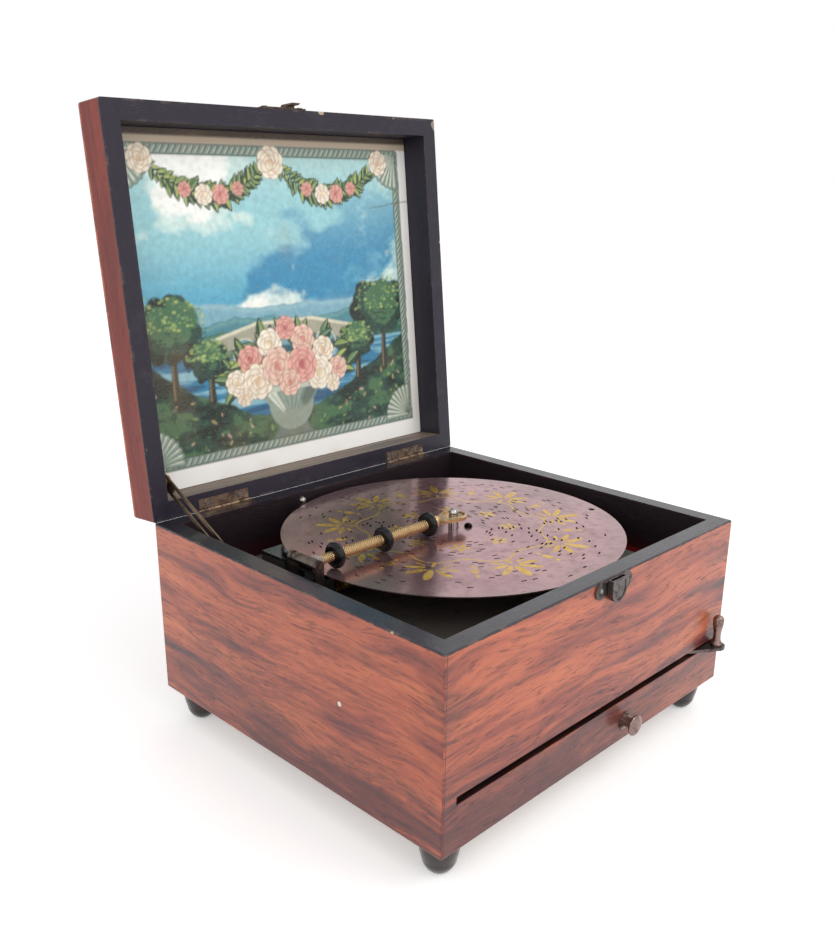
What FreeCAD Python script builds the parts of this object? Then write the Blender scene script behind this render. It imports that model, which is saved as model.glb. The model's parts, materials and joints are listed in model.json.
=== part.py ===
import FreeCAD, Part
import math
import os
import random

# Table disc music box: a hinged wooden case with an open lid, a steel comb played by a punched disc,
# a spring motor wound by a swinging lever, and a roller arm that holds the disc down.
# Millimetres. Origin on the table midway between the feet, +Z up, the front face looks along -Y.

# ---------------------------------------------------------------- driving dimensions: case and lid
case_width = 260.0
case_depth = 239.0
case_height = 109.0
board_thickness = 11.4
floor_thickness = 8.0
corner_round = 1.2
foot_height = 20.0
foot_diameter = 22.0
foot_base_radius = 4.8
foot_inset = 15.0
rim_gap = 0.3
lid_recess = 21.0
lid_panel_thickness = 5.0
lid_top_round = 4.0
lid_open_angle = 95.5
print_thickness = 0.4

# fits and clearances
running_fit = 0.06
seat_gap = 0.3
screw_fit = 0.05
dome_flat = 0.25
dome_side = 0.7
dome_rise = 0.62
past = 1.0

# screws and rivets
foot_screw_radius = 1.25
foot_screw_head = 2.1
foot_screw_head_height = 2.0
foot_screw_sink = 4.0
foot_screw_cover = 2.0
leaf_screw_radius = 1.0
leaf_screw_head = 2.0
leaf_screw_length = 8.0
catch_screw_head_height = 0.6
stay_screw_depth = 7.0
bed_screw_radius = 1.6
bed_screw_head = 3.2
bed_screw_head_height = 1.8
bed_screw_length = 25.0
machine_screw_radius = 1.4
machine_screw_head = 2.6
machine_screw_head_height = 1.6
pillar_screw_depth = 9.0

# hinges
leaf_length = 37.0
leaf_width = 7.5
leaf_thickness = 1.0
knuckle_radius = 1.3
knuckle_count = 5
knuckle_gap = 0.15
hinge_pin_radius = 0.6
hinge_head_radius = 1.1
hinge_head_length = 0.5
left_hinge_x = -98.0
right_hinge_x = 62.2
leaf_screw_inset = 7.0
leaf_screw_from_edge = 4.4

# latch on the front face, and the catch on the lid; the stud stands below the lobes' centres
latch_x = 0.35
latch_lobe_spacing = 23.2
latch_lobe_radius = 5.0
latch_plate_thickness = 1.0
latch_web_height = 8.0
latch_box_width = 13.5
latch_box_height = 13.5
latch_box_depth = 3.4
latch_shell = 0.6
latch_travel = 2.0
latch_rib_depth = 0.3
latch_rib_width = 1.5
latch_stud_radius = 0.9
latch_stud_head = 1.7
latch_stud_head_length = 0.8
latch_stud_drop = 1.5
rivet_radius = 1.0
rivet_head_radius = 1.5
rivet_head_height = 0.8
rivet_head_edge = 0.15
rivet_length = 6.0
catch_strip_length = 33.4
catch_strip_height = 6.0
catch_strip_thickness = 1.0
catch_offset = -4.4
catch_stand = 3.4
catch_hook_width = 9.4
catch_tongue_drop = 4.6
catch_tongue_thickness = 1.2
catch_slant = 2.6
catch_corner = 0.2
catch_undercut = 1.4
catch_lip = 1.2

# lid stay: slotted bar on the left
stay_clear_of_wall = 2.6
stay_thickness = 1.0
stay_width = 9.0
stay_length = 83.0
stay_slot_width = 4.4
stay_slot_start = 9.5
stay_slot_end = 76.0
stay_stud_y = 62.0
stay_stud_below_rim = 11.0
stay_stud_radius = 1.9
stay_pivot_y = 128.0
stay_pivot_above_rim = 21.6
stay_pivot_radius = 2.0
stay_pivot_head = 3.4
stay_pivot_head_length = 1.4
stay_shank_radius = 1.5
stay_flange_thickness = 1.0

# ---------------------------------------------------------------- driving dimensions: music works
spindle_x = 1.5
spindle_y = -2.5
# tune disc
disc_radius = 104.2
disc_thickness = 0.6
disc_below_rim = 3.5
disc_centre_hole = 3.4
drive_hole_radius = 2.7
edge_hole_radius = 2.0
edge_hole_circle = 98.0
edge_hole_angle = -23.0
slot_length = 3.6
slot_width = 1.1
slots_per_track = 9
slot_seed = 7
slot_tries = 27
slot_spacing = 1.6
edge_hole_clear = 4.0

bed_thickness = 5.0
bed_below_disc = 15.9
bed_left = -112.0
bed_right = 84.0
bed_front = -95.0
bed_rear = 77.0
bed_corner = 8.0
support_size = 14.0
support_inset = 1.0
front_right_support_back = 17.0
guide_lug_half = 6.0

track_count = 34
first_track = 21.0
track_pitch = 2.28
star_radius = 6.0
star_root = 3.6
star_teeth = 8
star_tip = 0.35
star_thickness = 1.4
star_disc_gap = 0.5
star_shaft_radius = 0.8
star_post_thickness = 2.0
star_post_depth = 7.0
star_post_above = 2.6

comb_thickness = 2.0
comb_tooth_width = 1.38
comb_tip_gap = 0.5
comb_reach = 56.0
comb_long_slit = 33.0
comb_short_slit = 20.0
comb_base_depth = 24.0
comb_base_set_in = 3.0
comb_screw_count = 3
comb_screw_from_rear = 8.0
weighted_teeth = 12
weight_height = 3.2
weight_set_back = 3.0
weight_longest = 14.0
weight_step = 0.8

motor_gap = 47.0
motor_plate_thickness = 3.0
motor_left = -50.0
motor_right = 68.0
motor_front = -84.0
motor_rear = 56.0
pillar_radius = 4.0
pillar_inset = 6.0
pillar_tenon = 2.0

# gears
great_teeth = 66
centre_teeth = 24
power_module = 1.0
main_teeth = 64
governor_teeth = 10
speed_module = 0.8
worm_wheel_teeth = 30
worm_module = 0.6
worm_pitch_radius = 2.4
pressure_angle = 20.0
addendum_share = 0.75
dedendum_share = 1.15
tooth_share = 0.42
worm_wheel_thickness = 1.6
worm_wheel_above_plate = 23.0
main_wheel_thickness = 3.0
pinion_over_great_wheel = 1.5
pinion_to_main_wheel = 2.0
governor_bearing = 45.0
governor_shaft = 2.0
governor_pivot = 1.2
governor_pinion_over = 1.0

# spring barrel and winding
drum_radius = 28.0
drum_wall = 1.5
drum_height = 28.0
drum_above_plate = 5.0
great_wheel_thickness = 4.5
spring_thickness = 0.8
spring_pitch = 1.6
spring_inner = 6.2
spring_height = 22.0
arbor_radius = 4.0
arbor_journal = 3.0
arbor_collar_radius = 6.5
arbor_collar_height = 1.6
arbor_shelf_radius = 7.0
arbor_shoulder = 1.0
arbor_below_bed = 0.5
ratchet_radius = 12.0
ratchet_root = 10.0
ratchet_teeth = 12
ratchet_thickness = 2.0
ratchet_over_lever = 0.5
lever_thickness = 2.0
lever_width = 11.0
lever_boss_radius = 8.0
lever_length = 138.8
lever_rest_angle = -33.7
lever_drop = 4.1
slot_height = 4.4
slot_end_left = -120.2
slot_end_right = 122.0
handle_height = 20.0
handle_foot_radius = 3.8
handle_foot_height = 1.2
handle_tenon = 1.8
rivet_over = 0.8
handle_rivet_height = 0.6
pawl_thickness = 1.8
pawl_boss = 2.6
pawl_root_half = 1.6
pawl_nose_half = 0.4
pin_head_over = 0.8
pawl_pin_head_height = 0.6
click_pin_head_height = 0.8
pawl_pivot_radius = 19.0
pawl_pivot_lead = 8.0
pawl_sweep = 38.0
pawl_nose_radius = 10.7
pawl_pin_radius = 1.2
click_pivot_angle = 100.0
click_nose_radius = 12.9
tooth_to_pawl = 2.0

# start knob
start_x = 23.0
start_above_case_bottom = 12.5
start_stem_radius = 3.0
start_head_radius = 6.35
start_head_thickness = 3.3
start_head_back = 6.5
start_rosette_radius = 5.25
start_rosette_thickness = 1.8
start_rod_radius = 1.5
start_travel = 4.0
start_finger_x = 49.0
start_finger_gap = 2.3
start_finger_above_worm = 3.0
start_hole_margin = 1.0
start_stem_length = 24.0

# governor fly
fly_radius = 12.0
fly_length = 16.0
fly_vane = 0.8
fly_boss = 3.0
worm_length = 15.0
worm_shaft_radius = 1.5
worm_journal = 1.0
worm_bracket_thickness = 2.5
worm_bracket_width = 12.0
worm_bracket_over = 5.0
worm_foot_length = 8.0
worm_foot_thickness = 2.0
worm_thread_share = 0.34
worm_thread_depth = 0.65
worm_thread_taper = 0.11
worm_thread_root = 0.3
worm_left = 6.0
worm_right = 64.5

# pressure arm
roller_radius = 7.4
roller_width = 4.8
roller_gap = 0.3
roller_places = (-92.8, -56.8, -20.9)
arm_rod_radius = 2.0
arm_tube_radius = 3.2
arm_short_radius = 2.8
arm_pivot_x = -109.5
arm_pin_radius = 1.3
arm_barrel_radius = 2.9
arm_ear_radius = 3.1
arm_ear_thickness = 2.2
arm_bracket_front = -9.5
arm_bracket_rear = 14.0
arm_foot_thickness = 3.0
arm_foot_margin = 1.0
arm_ear_back = 2.5
arm_screw_from_ear = 4.0
arm_screw_from_pin = 1.5
arm_pin_proud = 0.6
arm_barrel_flat = 0.4
arm_tongue_end = -103.5
arm_tongue_half = 2.9
arm_tongue_below = 1.6
arm_tongue_above = 2.4
arm_rod_end = -12.0
end_plate_radius = 8.0
end_plate_neck = 3.0
end_plate_thickness = 2.0
end_plate_border = 1.3
end_plate_dish = 0.5
end_plate_sag = 0.2
end_plate_hole_fit = 0.25
end_ball_radius = 3.8
end_ball_flat = 0.6
spindle_radius = 3.1
spindle_tip_radius = 2.8
spindle_tip_height = 6.4
post_tenon = 3.0
post_body_radius = 5.0
hub_radius = 6.0
hub_flange_radius = 13.0
hub_flange_thickness = 2.0
peg_radius = 2.4
peg_circle = 9.5
peg_angle = -31.0
peg_height = 2.4
peg_straight = 1.0
guide_post_x = -34.0
guide_post_y = 99.0
guide_ball_radius = 2.5
guide_ball_below_rim = 2.0
guide_stem_radius = 1.5
guide_washer_height = 1.2
guide_washer_over = 0.4
guide_collar_height = 1.0
guide_collar_under = 0.3

# ---------------------------------------------------------------- derived places
case_bottom = foot_height
floor_top = case_bottom + floor_thickness
rim_z = case_bottom + case_height
half_width = case_width / 2
half_depth = case_depth / 2
front_y = -half_depth
inner_x = half_width - board_thickness
inner_y = half_depth - board_thickness
lid_rim_z = rim_z + rim_gap
lid_ceiling_z = lid_rim_z + lid_recess
lid_top_z = lid_ceiling_z + lid_panel_thickness
hinge_y = half_depth
hinge_z = rim_z
disc_top = rim_z - disc_below_rim
disc_bottom = disc_top - disc_thickness
bed_top = disc_bottom - bed_below_disc
bed_bottom = bed_top - bed_thickness
motor_top = bed_bottom - motor_gap
motor_bottom = motor_top - motor_plate_thickness
star_z = disc_bottom - star_disc_gap - star_radius
comb_bottom = star_z - comb_thickness / 2
comb_top = comb_bottom + comb_thickness
comb_front = spindle_y + star_radius + comb_tip_gap
comb_rear = comb_front + comb_reach
arm_z = disc_top + roller_radius + roller_gap
end_plate_bottom = arm_z - end_plate_thickness / 2 - end_plate_sag
post_shoulder = end_plate_bottom - seat_gap
lever_top = motor_bottom - lever_drop
lever_bottom = lever_top - lever_thickness
lever_z = lever_bottom + lever_thickness / 2
ratchet_bottom = lever_top + ratchet_over_lever
ratchet_top = ratchet_bottom + ratchet_thickness
drum_bottom = motor_top + drum_above_plate
drum_top = drum_bottom + drum_height
great_top = drum_top + great_wheel_thickness
hub_bottom = drum_top
centre_pinion_top = great_top + pinion_over_great_wheel
main_wheel_bottom = centre_pinion_top + pinion_to_main_wheel
main_wheel_top = main_wheel_bottom + main_wheel_thickness
barrel_distance = power_module * (great_teeth + centre_teeth) / 2
barrel_x = spindle_x
barrel_y = spindle_y - barrel_distance
governor_distance = speed_module * (main_teeth + governor_teeth) / 2
governor_x = spindle_x + governor_distance * math.cos(math.radians(governor_bearing))
governor_y = spindle_y + governor_distance * math.sin(math.radians(governor_bearing))
worm_wheel_radius = worm_module * worm_wheel_teeth / 2
worm_y = governor_y + worm_wheel_radius + worm_pitch_radius
worm_lead = math.pi * worm_module
worm_root_radius = worm_pitch_radius - worm_thread_depth
worm_wheel_bottom = motor_top + worm_wheel_above_plate
worm_z = worm_wheel_bottom + worm_wheel_thickness / 2
start_z = case_bottom + start_above_case_bottom
fly_x = start_finger_x
finger_y = worm_y - fly_radius - start_finger_gap - start_rod_radius
hinge_places = (left_hinge_x, right_hinge_x)
latch_centre_z = rim_z - latch_lobe_radius
latch_stud_z = latch_centre_z - latch_stud_drop
latch_plate_y = front_y - latch_plate_thickness
stay_outer_x = -inner_x + stay_clear_of_wall
stay_inner_x = stay_outer_x + stay_thickness
stay_stud_z = rim_z - stay_stud_below_rim
stay_pivot_z = rim_z + stay_pivot_above_rim

V = FreeCAD.Vector
X_AXIS = V(1, 0, 0)
Y_AXIS = V(0, 1, 0)
Z_AXIS = V(0, 0, 1)


# ---------------------------------------------------------------- small tools
def box(x0, x1, y0, y1, z0, z1):
    return Part.makeBox(x1 - x0, y1 - y0, z1 - z0, V(x0, y0, z0))


def rod(radius, base, length, axis=Z_AXIS):
    return Part.makeCylinder(radius, length, base, axis)


def ring(outer, inner, base, length, axis=Z_AXIS):
    return rod(outer, base, length, axis).cut(rod(inner, base, length, axis))


def prism(points, z0, z1):
    corners = [V(x, y, z0) for x, y in points]
    outline = Part.makePolygon(corners + corners[:1])
    return Part.Face(outline).extrude(V(0, 0, z1 - z0))


def polar(radius, degrees, centre=(0.0, 0.0)):
    turn = math.radians(degrees)
    return (centre[0] + radius * math.cos(turn), centre[1] + radius * math.sin(turn))


def lathe(profile, base=V(0, 0, 0), axis=Z_AXIS):
    """Turns a closed (radius, height) profile; two pairs together are an arc by the first to the second."""
    edges = []
    here = profile[0]
    for step in profile[1:] + profile[:1]:
        if isinstance(step[0], tuple):
            through, end = step
            edges.append(Part.Arc(flat(here), flat(through), flat(end)).toBSpline().toShape())
            here = end
        elif step != here:
            edges.append(Part.LineSegment(flat(here), flat(step)).toShape())
            here = step
    solid = Part.makeSolid(Part.Face(Part.Wire(edges)).revolve(V(0, 0, 0), Z_AXIS, 360))
    solid.rotate(V(0, 0, 0), V(0, 0, 1).cross(axis) if axis != Z_AXIS else Z_AXIS, tilt(axis))
    solid.translate(base)
    return solid


def domed(radius, straight, height, base, axis=Z_AXIS):
    """A short rod that is rounded over above its straight part."""
    rise = height - straight
    side = (dome_side * radius, straight + dome_rise * rise)
    profile = [(0, 0), (radius, 0), (radius, straight), (side, (dome_flat, height)), (0, height)]
    return lathe(profile, base, axis)


def flat(pair):
    return V(pair[0], 0, pair[1])


def tilt(axis):
    return math.degrees(Z_AXIS.getAngle(axis))


def joined(first, others):
    return first.fuse(others).removeSplitter()


def group(solids):
    return Part.makeCompound(solids)


def screw(tip, axis, length, shank, head, head_height):
    """A round-headed screw: its tip is the far end, and its head stands beyond the shank."""
    head_base = tip + axis * length
    return joined(rod(shank, tip, length, axis), [rod(head, head_base, head_height, axis)])


def flat_screw(mouth, axis, length, shank, head):
    """A countersunk screw whose flat head is flush at the mouth; the axis points out of the wood."""
    head_height = head - shank
    cone = Part.makeCone(shank, head, head_height, mouth - axis * head_height, axis)
    return joined(rod(shank, mouth - axis * length, length - head_height, axis), [cone])


def stretched_outline(centre_a, centre_b, radius_a, radius_b, z0, z1):
    """A plate with two round ends joined by straight sides."""
    ax, ay = centre_a
    bx, by = centre_b
    length = math.hypot(bx - ax, by - ay)
    heading = math.degrees(math.atan2(by - ay, bx - ax))
    spread = math.degrees(math.acos((radius_a - radius_b) / length))
    corners = [
        polar(radius_a, heading + spread, centre_a),
        polar(radius_a, heading - spread, centre_a),
        polar(radius_b, heading - spread, centre_b),
        polar(radius_b, heading + spread, centre_b),
    ]
    side = prism(corners, z0, z1)
    ends = [rod(radius_a, V(ax, ay, z0), z1 - z0), rod(radius_b, V(bx, by, z0), z1 - z0)]
    return joined(side, ends)


def gear_outline(teeth, module, first_tooth, centre):
    """Corners of a spur gear with involute flanks, three points to a flank, and its first tooth's bearing."""
    pitch_radius = teeth * module / 2
    base_radius = pitch_radius * math.cos(math.radians(pressure_angle))
    tip_radius = pitch_radius + addendum_share * module
    root_radius = pitch_radius - dedendum_share * module
    pitch_angle = 360.0 / teeth
    half_tooth = pitch_angle * tooth_share / 2

    def half_angle(radius):
        if radius <= base_radius:
            radius = base_radius
        lean = math.acos(base_radius / radius)
        pitch_lean = math.radians(pressure_angle)
        return half_tooth + math.degrees((math.tan(pitch_lean) - pitch_lean) - (math.tan(lean) - lean))

    flank = (root_radius, max(base_radius, root_radius + 0.1 * module), pitch_radius, tip_radius)
    corners = []
    for tooth in range(teeth):
        middle = first_tooth + tooth * pitch_angle
        corners += [polar(radius, middle - half_angle(radius), centre) for radius in flank]
        corners += [polar(radius, middle + half_angle(radius), centre) for radius in reversed(flank)]
    return corners


# ---------------------------------------------------------------- wooden case
def rounded_block(z0, z1):
    """Every edge is rounded but the rear top one, which the open lid stands on."""
    block = box(-half_width, half_width, -half_depth, half_depth, z0, z1)
    edges = [edge for edge in block.Edges
             if edge.BoundBox.YMin < half_depth - past or edge.BoundBox.ZMin < z1 - past]
    return block.makeFillet(corner_round, edges)


def side_wedge(side, z0, z1):
    """The plan region of one mitred board, between the 45 degree cuts at its two ends."""
    reach = board_thickness
    outer_x = half_width + reach
    outer_y = half_depth + reach
    outer = {"front": ((-outer_x, -outer_y), (outer_x, -outer_y)),
             "right": ((outer_x, -outer_y), (outer_x, outer_y)),
             "back": ((outer_x, outer_y), (-outer_x, outer_y)),
             "left": ((-outer_x, outer_y), (-outer_x, -outer_y))}[side]
    inner = {"front": ((inner_x, -inner_y), (-inner_x, -inner_y)),
             "right": ((inner_x, inner_y), (inner_x, -inner_y)),
             "back": ((-inner_x, inner_y), (inner_x, inner_y)),
             "left": ((-inner_x, -inner_y), (-inner_x, inner_y))}[side]
    return prism(outer + inner, z0, z1)


def case_boards():
    shell = rounded_block(case_bottom, rim_z)
    shell = shell.cut(box(-inner_x, inner_x, -inner_y, inner_y, case_bottom - past, rim_z + past))
    boards = {side: shell.common(side_wedge(side, case_bottom, rim_z))
              for side in ("front", "right", "back", "left")}
    boards["front"] = boards["front"].cut([winding_slot(), start_hole()])
    boards["front"] = boards["front"].cut(rivet_holes())
    boards["back"] = boards["back"].cut(case_hinge_mortises())
    boards["left"] = boards["left"].cut(stay_stud_hole())
    return boards


def winding_slot():
    """The slot's ends lie along the lever at the two ends of its swing."""
    slope = 1 / math.tan(math.radians(lever_rest_angle))
    y0 = front_y - past
    y1 = front_y + board_thickness + past
    right = [(slot_end_right + (y - front_y) * slope, y) for y in (y0, y1)]
    left = [(slot_end_left - (y - front_y) * slope, y) for y in (y1, y0)]
    return prism(right + left, lever_z - slot_height / 2, lever_z + slot_height / 2)


def start_hole():
    mouth = V(start_x, front_y - past, start_z)
    return rod(start_stem_radius + running_fit, mouth, board_thickness + 2 * past, Y_AXIS)


def floor_board():
    board = box(-inner_x, inner_x, -inner_y, inner_y, case_bottom, floor_top)
    holes = [rod(foot_screw_radius + screw_fit, V(x, y, case_bottom - past), floor_thickness + 2 * past)
             for x, y in foot_places()]
    return board.cut(holes)


def foot_places():
    x = half_width - foot_inset
    y = half_depth - foot_inset
    return ((-x, -y), (x, -y), (-x, y), (x, y))


def feet():
    """Turned feet like bowls, widest at the top and drawn in to a small flat base."""
    widest = foot_diameter / 2
    profile = [
        (0, 0),
        (foot_base_radius, 0),
        ((0.68 * widest, 0.14 * foot_height), (0.84 * widest, 0.38 * foot_height)),
        ((0.96 * widest, 0.66 * foot_height), (widest, foot_height)),
        (0, foot_height),
    ]
    solids = []
    for x, y in foot_places():
        foot = lathe(profile, V(x, y, 0))
        bore = rod(foot_screw_radius + screw_fit, V(x, y, 0), foot_height)
        sink = rod(foot_screw_head + screw_fit, V(x, y, 0), foot_screw_sink + foot_screw_head_height)
        solids.append(foot.cut([bore, sink]))
    return group(solids)


def foot_screws():
    top = floor_top - foot_screw_cover
    seat = foot_screw_sink + foot_screw_head_height
    return [screw(V(x, y, top), V(0, 0, -1), top - seat, foot_screw_radius,
                  foot_screw_head, foot_screw_head_height) for x, y in foot_places()]


# ---------------------------------------------------------------- lid, modelled closed and then opened
def opened(shape):
    turned = shape.copy()
    turned.rotate(V(0, hinge_y, hinge_z), X_AXIS, -lid_open_angle)
    return turned


def closed(shape):
    turned = shape.copy()
    turned.rotate(V(0, hinge_y, hinge_z), X_AXIS, lid_open_angle)
    return turned


def lid_block():
    block = box(-half_width, half_width, -half_depth, half_depth, lid_rim_z, lid_top_z)
    top = [edge for edge in block.Edges if edge.BoundBox.ZMin > lid_top_z - 0.01]
    block = block.makeFillet(lid_top_round, top)
    upright = [edge for edge in block.Edges
               if edge.BoundBox.ZLength > lid_recess and edge.BoundBox.XLength + edge.BoundBox.YLength < 0.01]
    return block.makeFillet(corner_round, upright)


def lid_rails():
    shell = lid_block()
    shell = shell.cut(box(-inner_x, inner_x, -inner_y, inner_y, lid_rim_z - past, lid_ceiling_z))
    rails = {side: shell.common(side_wedge(side, lid_rim_z, lid_ceiling_z))
             for side in ("front", "right", "back", "left")}
    rails["back"] = rails["back"].cut(lid_hinge_mortises())
    rails["left"] = rails["left"].cut(closed(stay_pivot_hole()))
    rails["front"] = rails["front"].cut(catch_screw_holes())
    return rails


def lid_panel():
    block = lid_block()
    return block.common(box(-half_width, half_width, -half_depth, half_depth, lid_ceiling_z, lid_top_z))


def lid_sheet():
    return box(-inner_x + seat_gap, inner_x - seat_gap, -inner_y + seat_gap, inner_y - seat_gap,
               lid_ceiling_z - print_thickness, lid_ceiling_z)


# ---------------------------------------------------------------- hinges
def leaf_screw_spots(x0):
    y = half_depth - leaf_screw_from_edge
    return [(x0 + leaf_screw_inset, y), (x0 + leaf_length - leaf_screw_inset, y)]


def case_leaf_screws():
    return [flat_screw(V(x, y, rim_z), Z_AXIS, leaf_screw_length, leaf_screw_radius, leaf_screw_head)
            for x0 in hinge_places for x, y in leaf_screw_spots(x0)]


def lid_leaf_screws():
    return [flat_screw(V(x, y, lid_rim_z), V(0, 0, -1), leaf_screw_length, leaf_screw_radius, leaf_screw_head)
            for x0 in hinge_places for x, y in leaf_screw_spots(x0)]


def hinge_leaf(x0, z0, z1, own, screws):
    """A leaf plate with an arm and a rolled knuckle at each of its own places along the pin."""
    clear_y = hinge_y - knuckle_radius - knuckle_gap
    plate = box(x0, x0 + leaf_length, half_depth - leaf_width, clear_y, z0, z1)
    step = leaf_length / knuckle_count
    extra = []
    for place in own:
        start = x0 + place * step + knuckle_gap
        end = x0 + (place + 1) * step - knuckle_gap
        extra.append(box(start, end, clear_y - past, hinge_y, z0, z1))
        extra.append(rod(knuckle_radius, V(start, hinge_y, hinge_z), end - start, X_AXIS))
    leaf = joined(plate, extra)
    bore_start = V(x0 - past, hinge_y, hinge_z)
    bore = rod(hinge_pin_radius + running_fit, bore_start, leaf_length + 2 * past, X_AXIS)
    return leaf.cut([bore] + screws)


def case_hinge_leaves():
    own = range(0, knuckle_count, 2)
    return group([hinge_leaf(x0, rim_z - leaf_thickness, rim_z, own, case_leaf_screws())
                  for x0 in hinge_places])


def lid_hinge_leaves():
    own = range(1, knuckle_count, 2)
    return group([hinge_leaf(x0, lid_rim_z, lid_rim_z + leaf_thickness, own, lid_leaf_screws())
                  for x0 in hinge_places])


def knuckle_channels():
    """The pin stands on the case's rear rim edge, so both boards are grooved round the knuckles."""
    spare = knuckle_gap + hinge_head_length + seat_gap
    return [rod(knuckle_radius + seat_gap, V(x0 - spare, hinge_y, hinge_z), leaf_length + 2 * spare, X_AXIS)
            for x0 in hinge_places]


def case_hinge_mortises():
    pockets = [box(x0, x0 + leaf_length, half_depth - leaf_width, half_depth + past,
                   rim_z - leaf_thickness, rim_z + past) for x0 in hinge_places]
    return pockets + case_leaf_screws() + knuckle_channels()


def lid_hinge_mortises():
    pockets = [box(x0, x0 + leaf_length, half_depth - leaf_width, half_depth + past,
                   lid_rim_z - past, lid_rim_z + leaf_thickness) for x0 in hinge_places]
    return pockets + lid_leaf_screws() + knuckle_channels()


def hinge_pins():
    pins = []
    for x0 in hinge_places:
        shaft = rod(hinge_pin_radius, V(x0 - knuckle_gap, hinge_y, hinge_z),
                    leaf_length + 2 * knuckle_gap, X_AXIS)
        near = rod(hinge_head_radius, V(x0 - knuckle_gap - hinge_head_length, hinge_y, hinge_z),
                   hinge_head_length, X_AXIS)
        far = rod(hinge_head_radius, V(x0 + leaf_length + knuckle_gap, hinge_y, hinge_z),
                  hinge_head_length, X_AXIS)
        pins.append(joined(shaft, [near, far]))
    return group(pins)


# ---------------------------------------------------------------- latch and catch
def latch_lobes():
    return (latch_x - latch_lobe_spacing / 2, latch_x + latch_lobe_spacing / 2)


def rivet_spots():
    return [(x, latch_centre_z) for x in latch_lobes()]


def latch_plate():
    """A plate with two round lobes, and a headed stud that the sliding box rides on."""
    left, right = latch_lobes()
    web = box(left, right, latch_plate_y, front_y, latch_centre_z - latch_web_height / 2,
              latch_centre_z + latch_web_height / 2)
    lobes = [rod(latch_lobe_radius, V(x, latch_plate_y, latch_centre_z), latch_plate_thickness, Y_AXIS)
             for x in (left, right)]
    neck_end = latch_plate_y - 2 * seat_gap - latch_shell
    stud_x = latch_x + latch_travel / 2
    neck = rod(latch_stud_radius, V(stud_x, neck_end, latch_stud_z), latch_plate_y - neck_end, Y_AXIS)
    head = rod(latch_stud_head, V(stud_x, neck_end - latch_stud_head_length, latch_stud_z),
               latch_stud_head_length, Y_AXIS)
    holes = [rod(rivet_radius, V(x, latch_plate_y - past, z), latch_plate_thickness + 2 * past, Y_AXIS)
             for x, z in rivet_spots()]
    return joined(web, lobes + [neck, head]).cut(holes)


def rivets():
    solids = []
    for x, z in rivet_spots():
        shank = rod(rivet_radius, V(x, latch_plate_y, z), rivet_length, Y_AXIS)
        head = domed(rivet_head_radius, rivet_head_edge, rivet_head_height, V(x, latch_plate_y, z), -Y_AXIS)
        solids.append(joined(shank, [head]))
    return solids


def rivet_holes():
    return [rod(rivet_radius, V(x, front_y - past, z), rivet_length + past - latch_plate_thickness, Y_AXIS)
            for x, z in rivet_spots()]


def u_outline(half, low, high, y0, y1):
    """A plate in the XZ plane with a round bottom."""
    upper = box(latch_x - half, latch_x + half, y0, y1, low + half, high)
    return joined(upper, [rod(half, V(latch_x, y0, low + half), y1 - y0, Y_AXIS)])


def latch_slide():
    """An open-topped U-shaped box; its back wall has a slot for the plate's stud."""
    half = latch_box_width / 2
    low = rim_z - latch_box_height
    back = latch_plate_y - seat_gap
    front = back - latch_box_depth
    shell = u_outline(half, low, rim_z, front, back)
    hollow = u_outline(half - latch_shell, low + latch_shell, rim_z + past,
                       front + latch_shell + latch_rib_depth, back - latch_shell)
    face = u_outline(half - latch_rib_width, low + latch_rib_width, rim_z - latch_rib_width, front - past,
                     front + latch_rib_depth)
    reach = latch_stud_radius + seat_gap
    slot = box(latch_x - latch_travel / 2 - reach, latch_x + latch_travel / 2 + reach,
               back - latch_shell - past, back + past, latch_stud_z - reach, latch_stud_z + reach)
    return shell.cut([hollow, face, slot])


def catch_screw_spots():
    middle = latch_x + catch_offset
    z = lid_rim_z + catch_strip_height / 2
    reach = catch_strip_length / 2 - catch_strip_height / 2
    return [(middle - reach, z), (middle + reach, z)]


def catch_screws():
    reach = leaf_screw_length + catch_strip_thickness
    return [screw(V(x, front_y + leaf_screw_length, z), V(0, -1, 0), reach, leaf_screw_radius,
                  leaf_screw_head, catch_screw_head_height) for x, z in catch_screw_spots()]


def catch_screw_holes():
    depth = leaf_screw_length + screw_fit
    return [rod(leaf_screw_radius + screw_fit, V(x, front_y - past, z), depth + past, Y_AXIS)
            for x, z in catch_screw_spots()]


def lid_catch():
    """A strip on the lid's free edge with a hooked tongue that drops into the latch box when shut."""
    middle = latch_x + catch_offset
    strip = box(middle - catch_strip_length / 2, middle + catch_strip_length / 2,
                front_y - catch_strip_thickness, front_y, lid_rim_z, lid_rim_z + catch_strip_height)
    half = catch_hook_width / 2
    hook = [
        (latch_x - half, front_y),
        (latch_x - half + catch_slant, front_y - catch_stand),
        (latch_x + half - catch_corner, front_y - catch_stand),
        (latch_x + half - catch_undercut, front_y - catch_stand + catch_lip),
        (latch_x + half - catch_undercut, front_y - catch_stand / 3),
        (latch_x + half, front_y),
    ]
    tongue = prism(hook, lid_rim_z - catch_tongue_drop, lid_rim_z + catch_strip_height)
    relief = box(latch_x - half - past, latch_x + half + past, front_y - catch_stand + catch_tongue_thickness,
                 front_y, lid_rim_z - catch_tongue_drop - past, lid_rim_z)
    strip = joined(strip, [tongue.cut(relief)])
    mouth = front_y - catch_strip_thickness - past
    return strip.cut([rod(leaf_screw_radius + screw_fit, V(x, mouth, z), front_y + past - mouth, Y_AXIS)
                      for x, z in catch_screw_spots()])


# ---------------------------------------------------------------- lid stay
def upright_plate(points, x0, x1):
    """A plate between x0 and x1 whose outline is given by (y, z) corners."""
    corners = [V(x0, y, z) for y, z in points]
    outline = Part.makePolygon(corners + corners[:1])
    return Part.Face(outline).extrude(V(x1 - x0, 0, 0))


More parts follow.
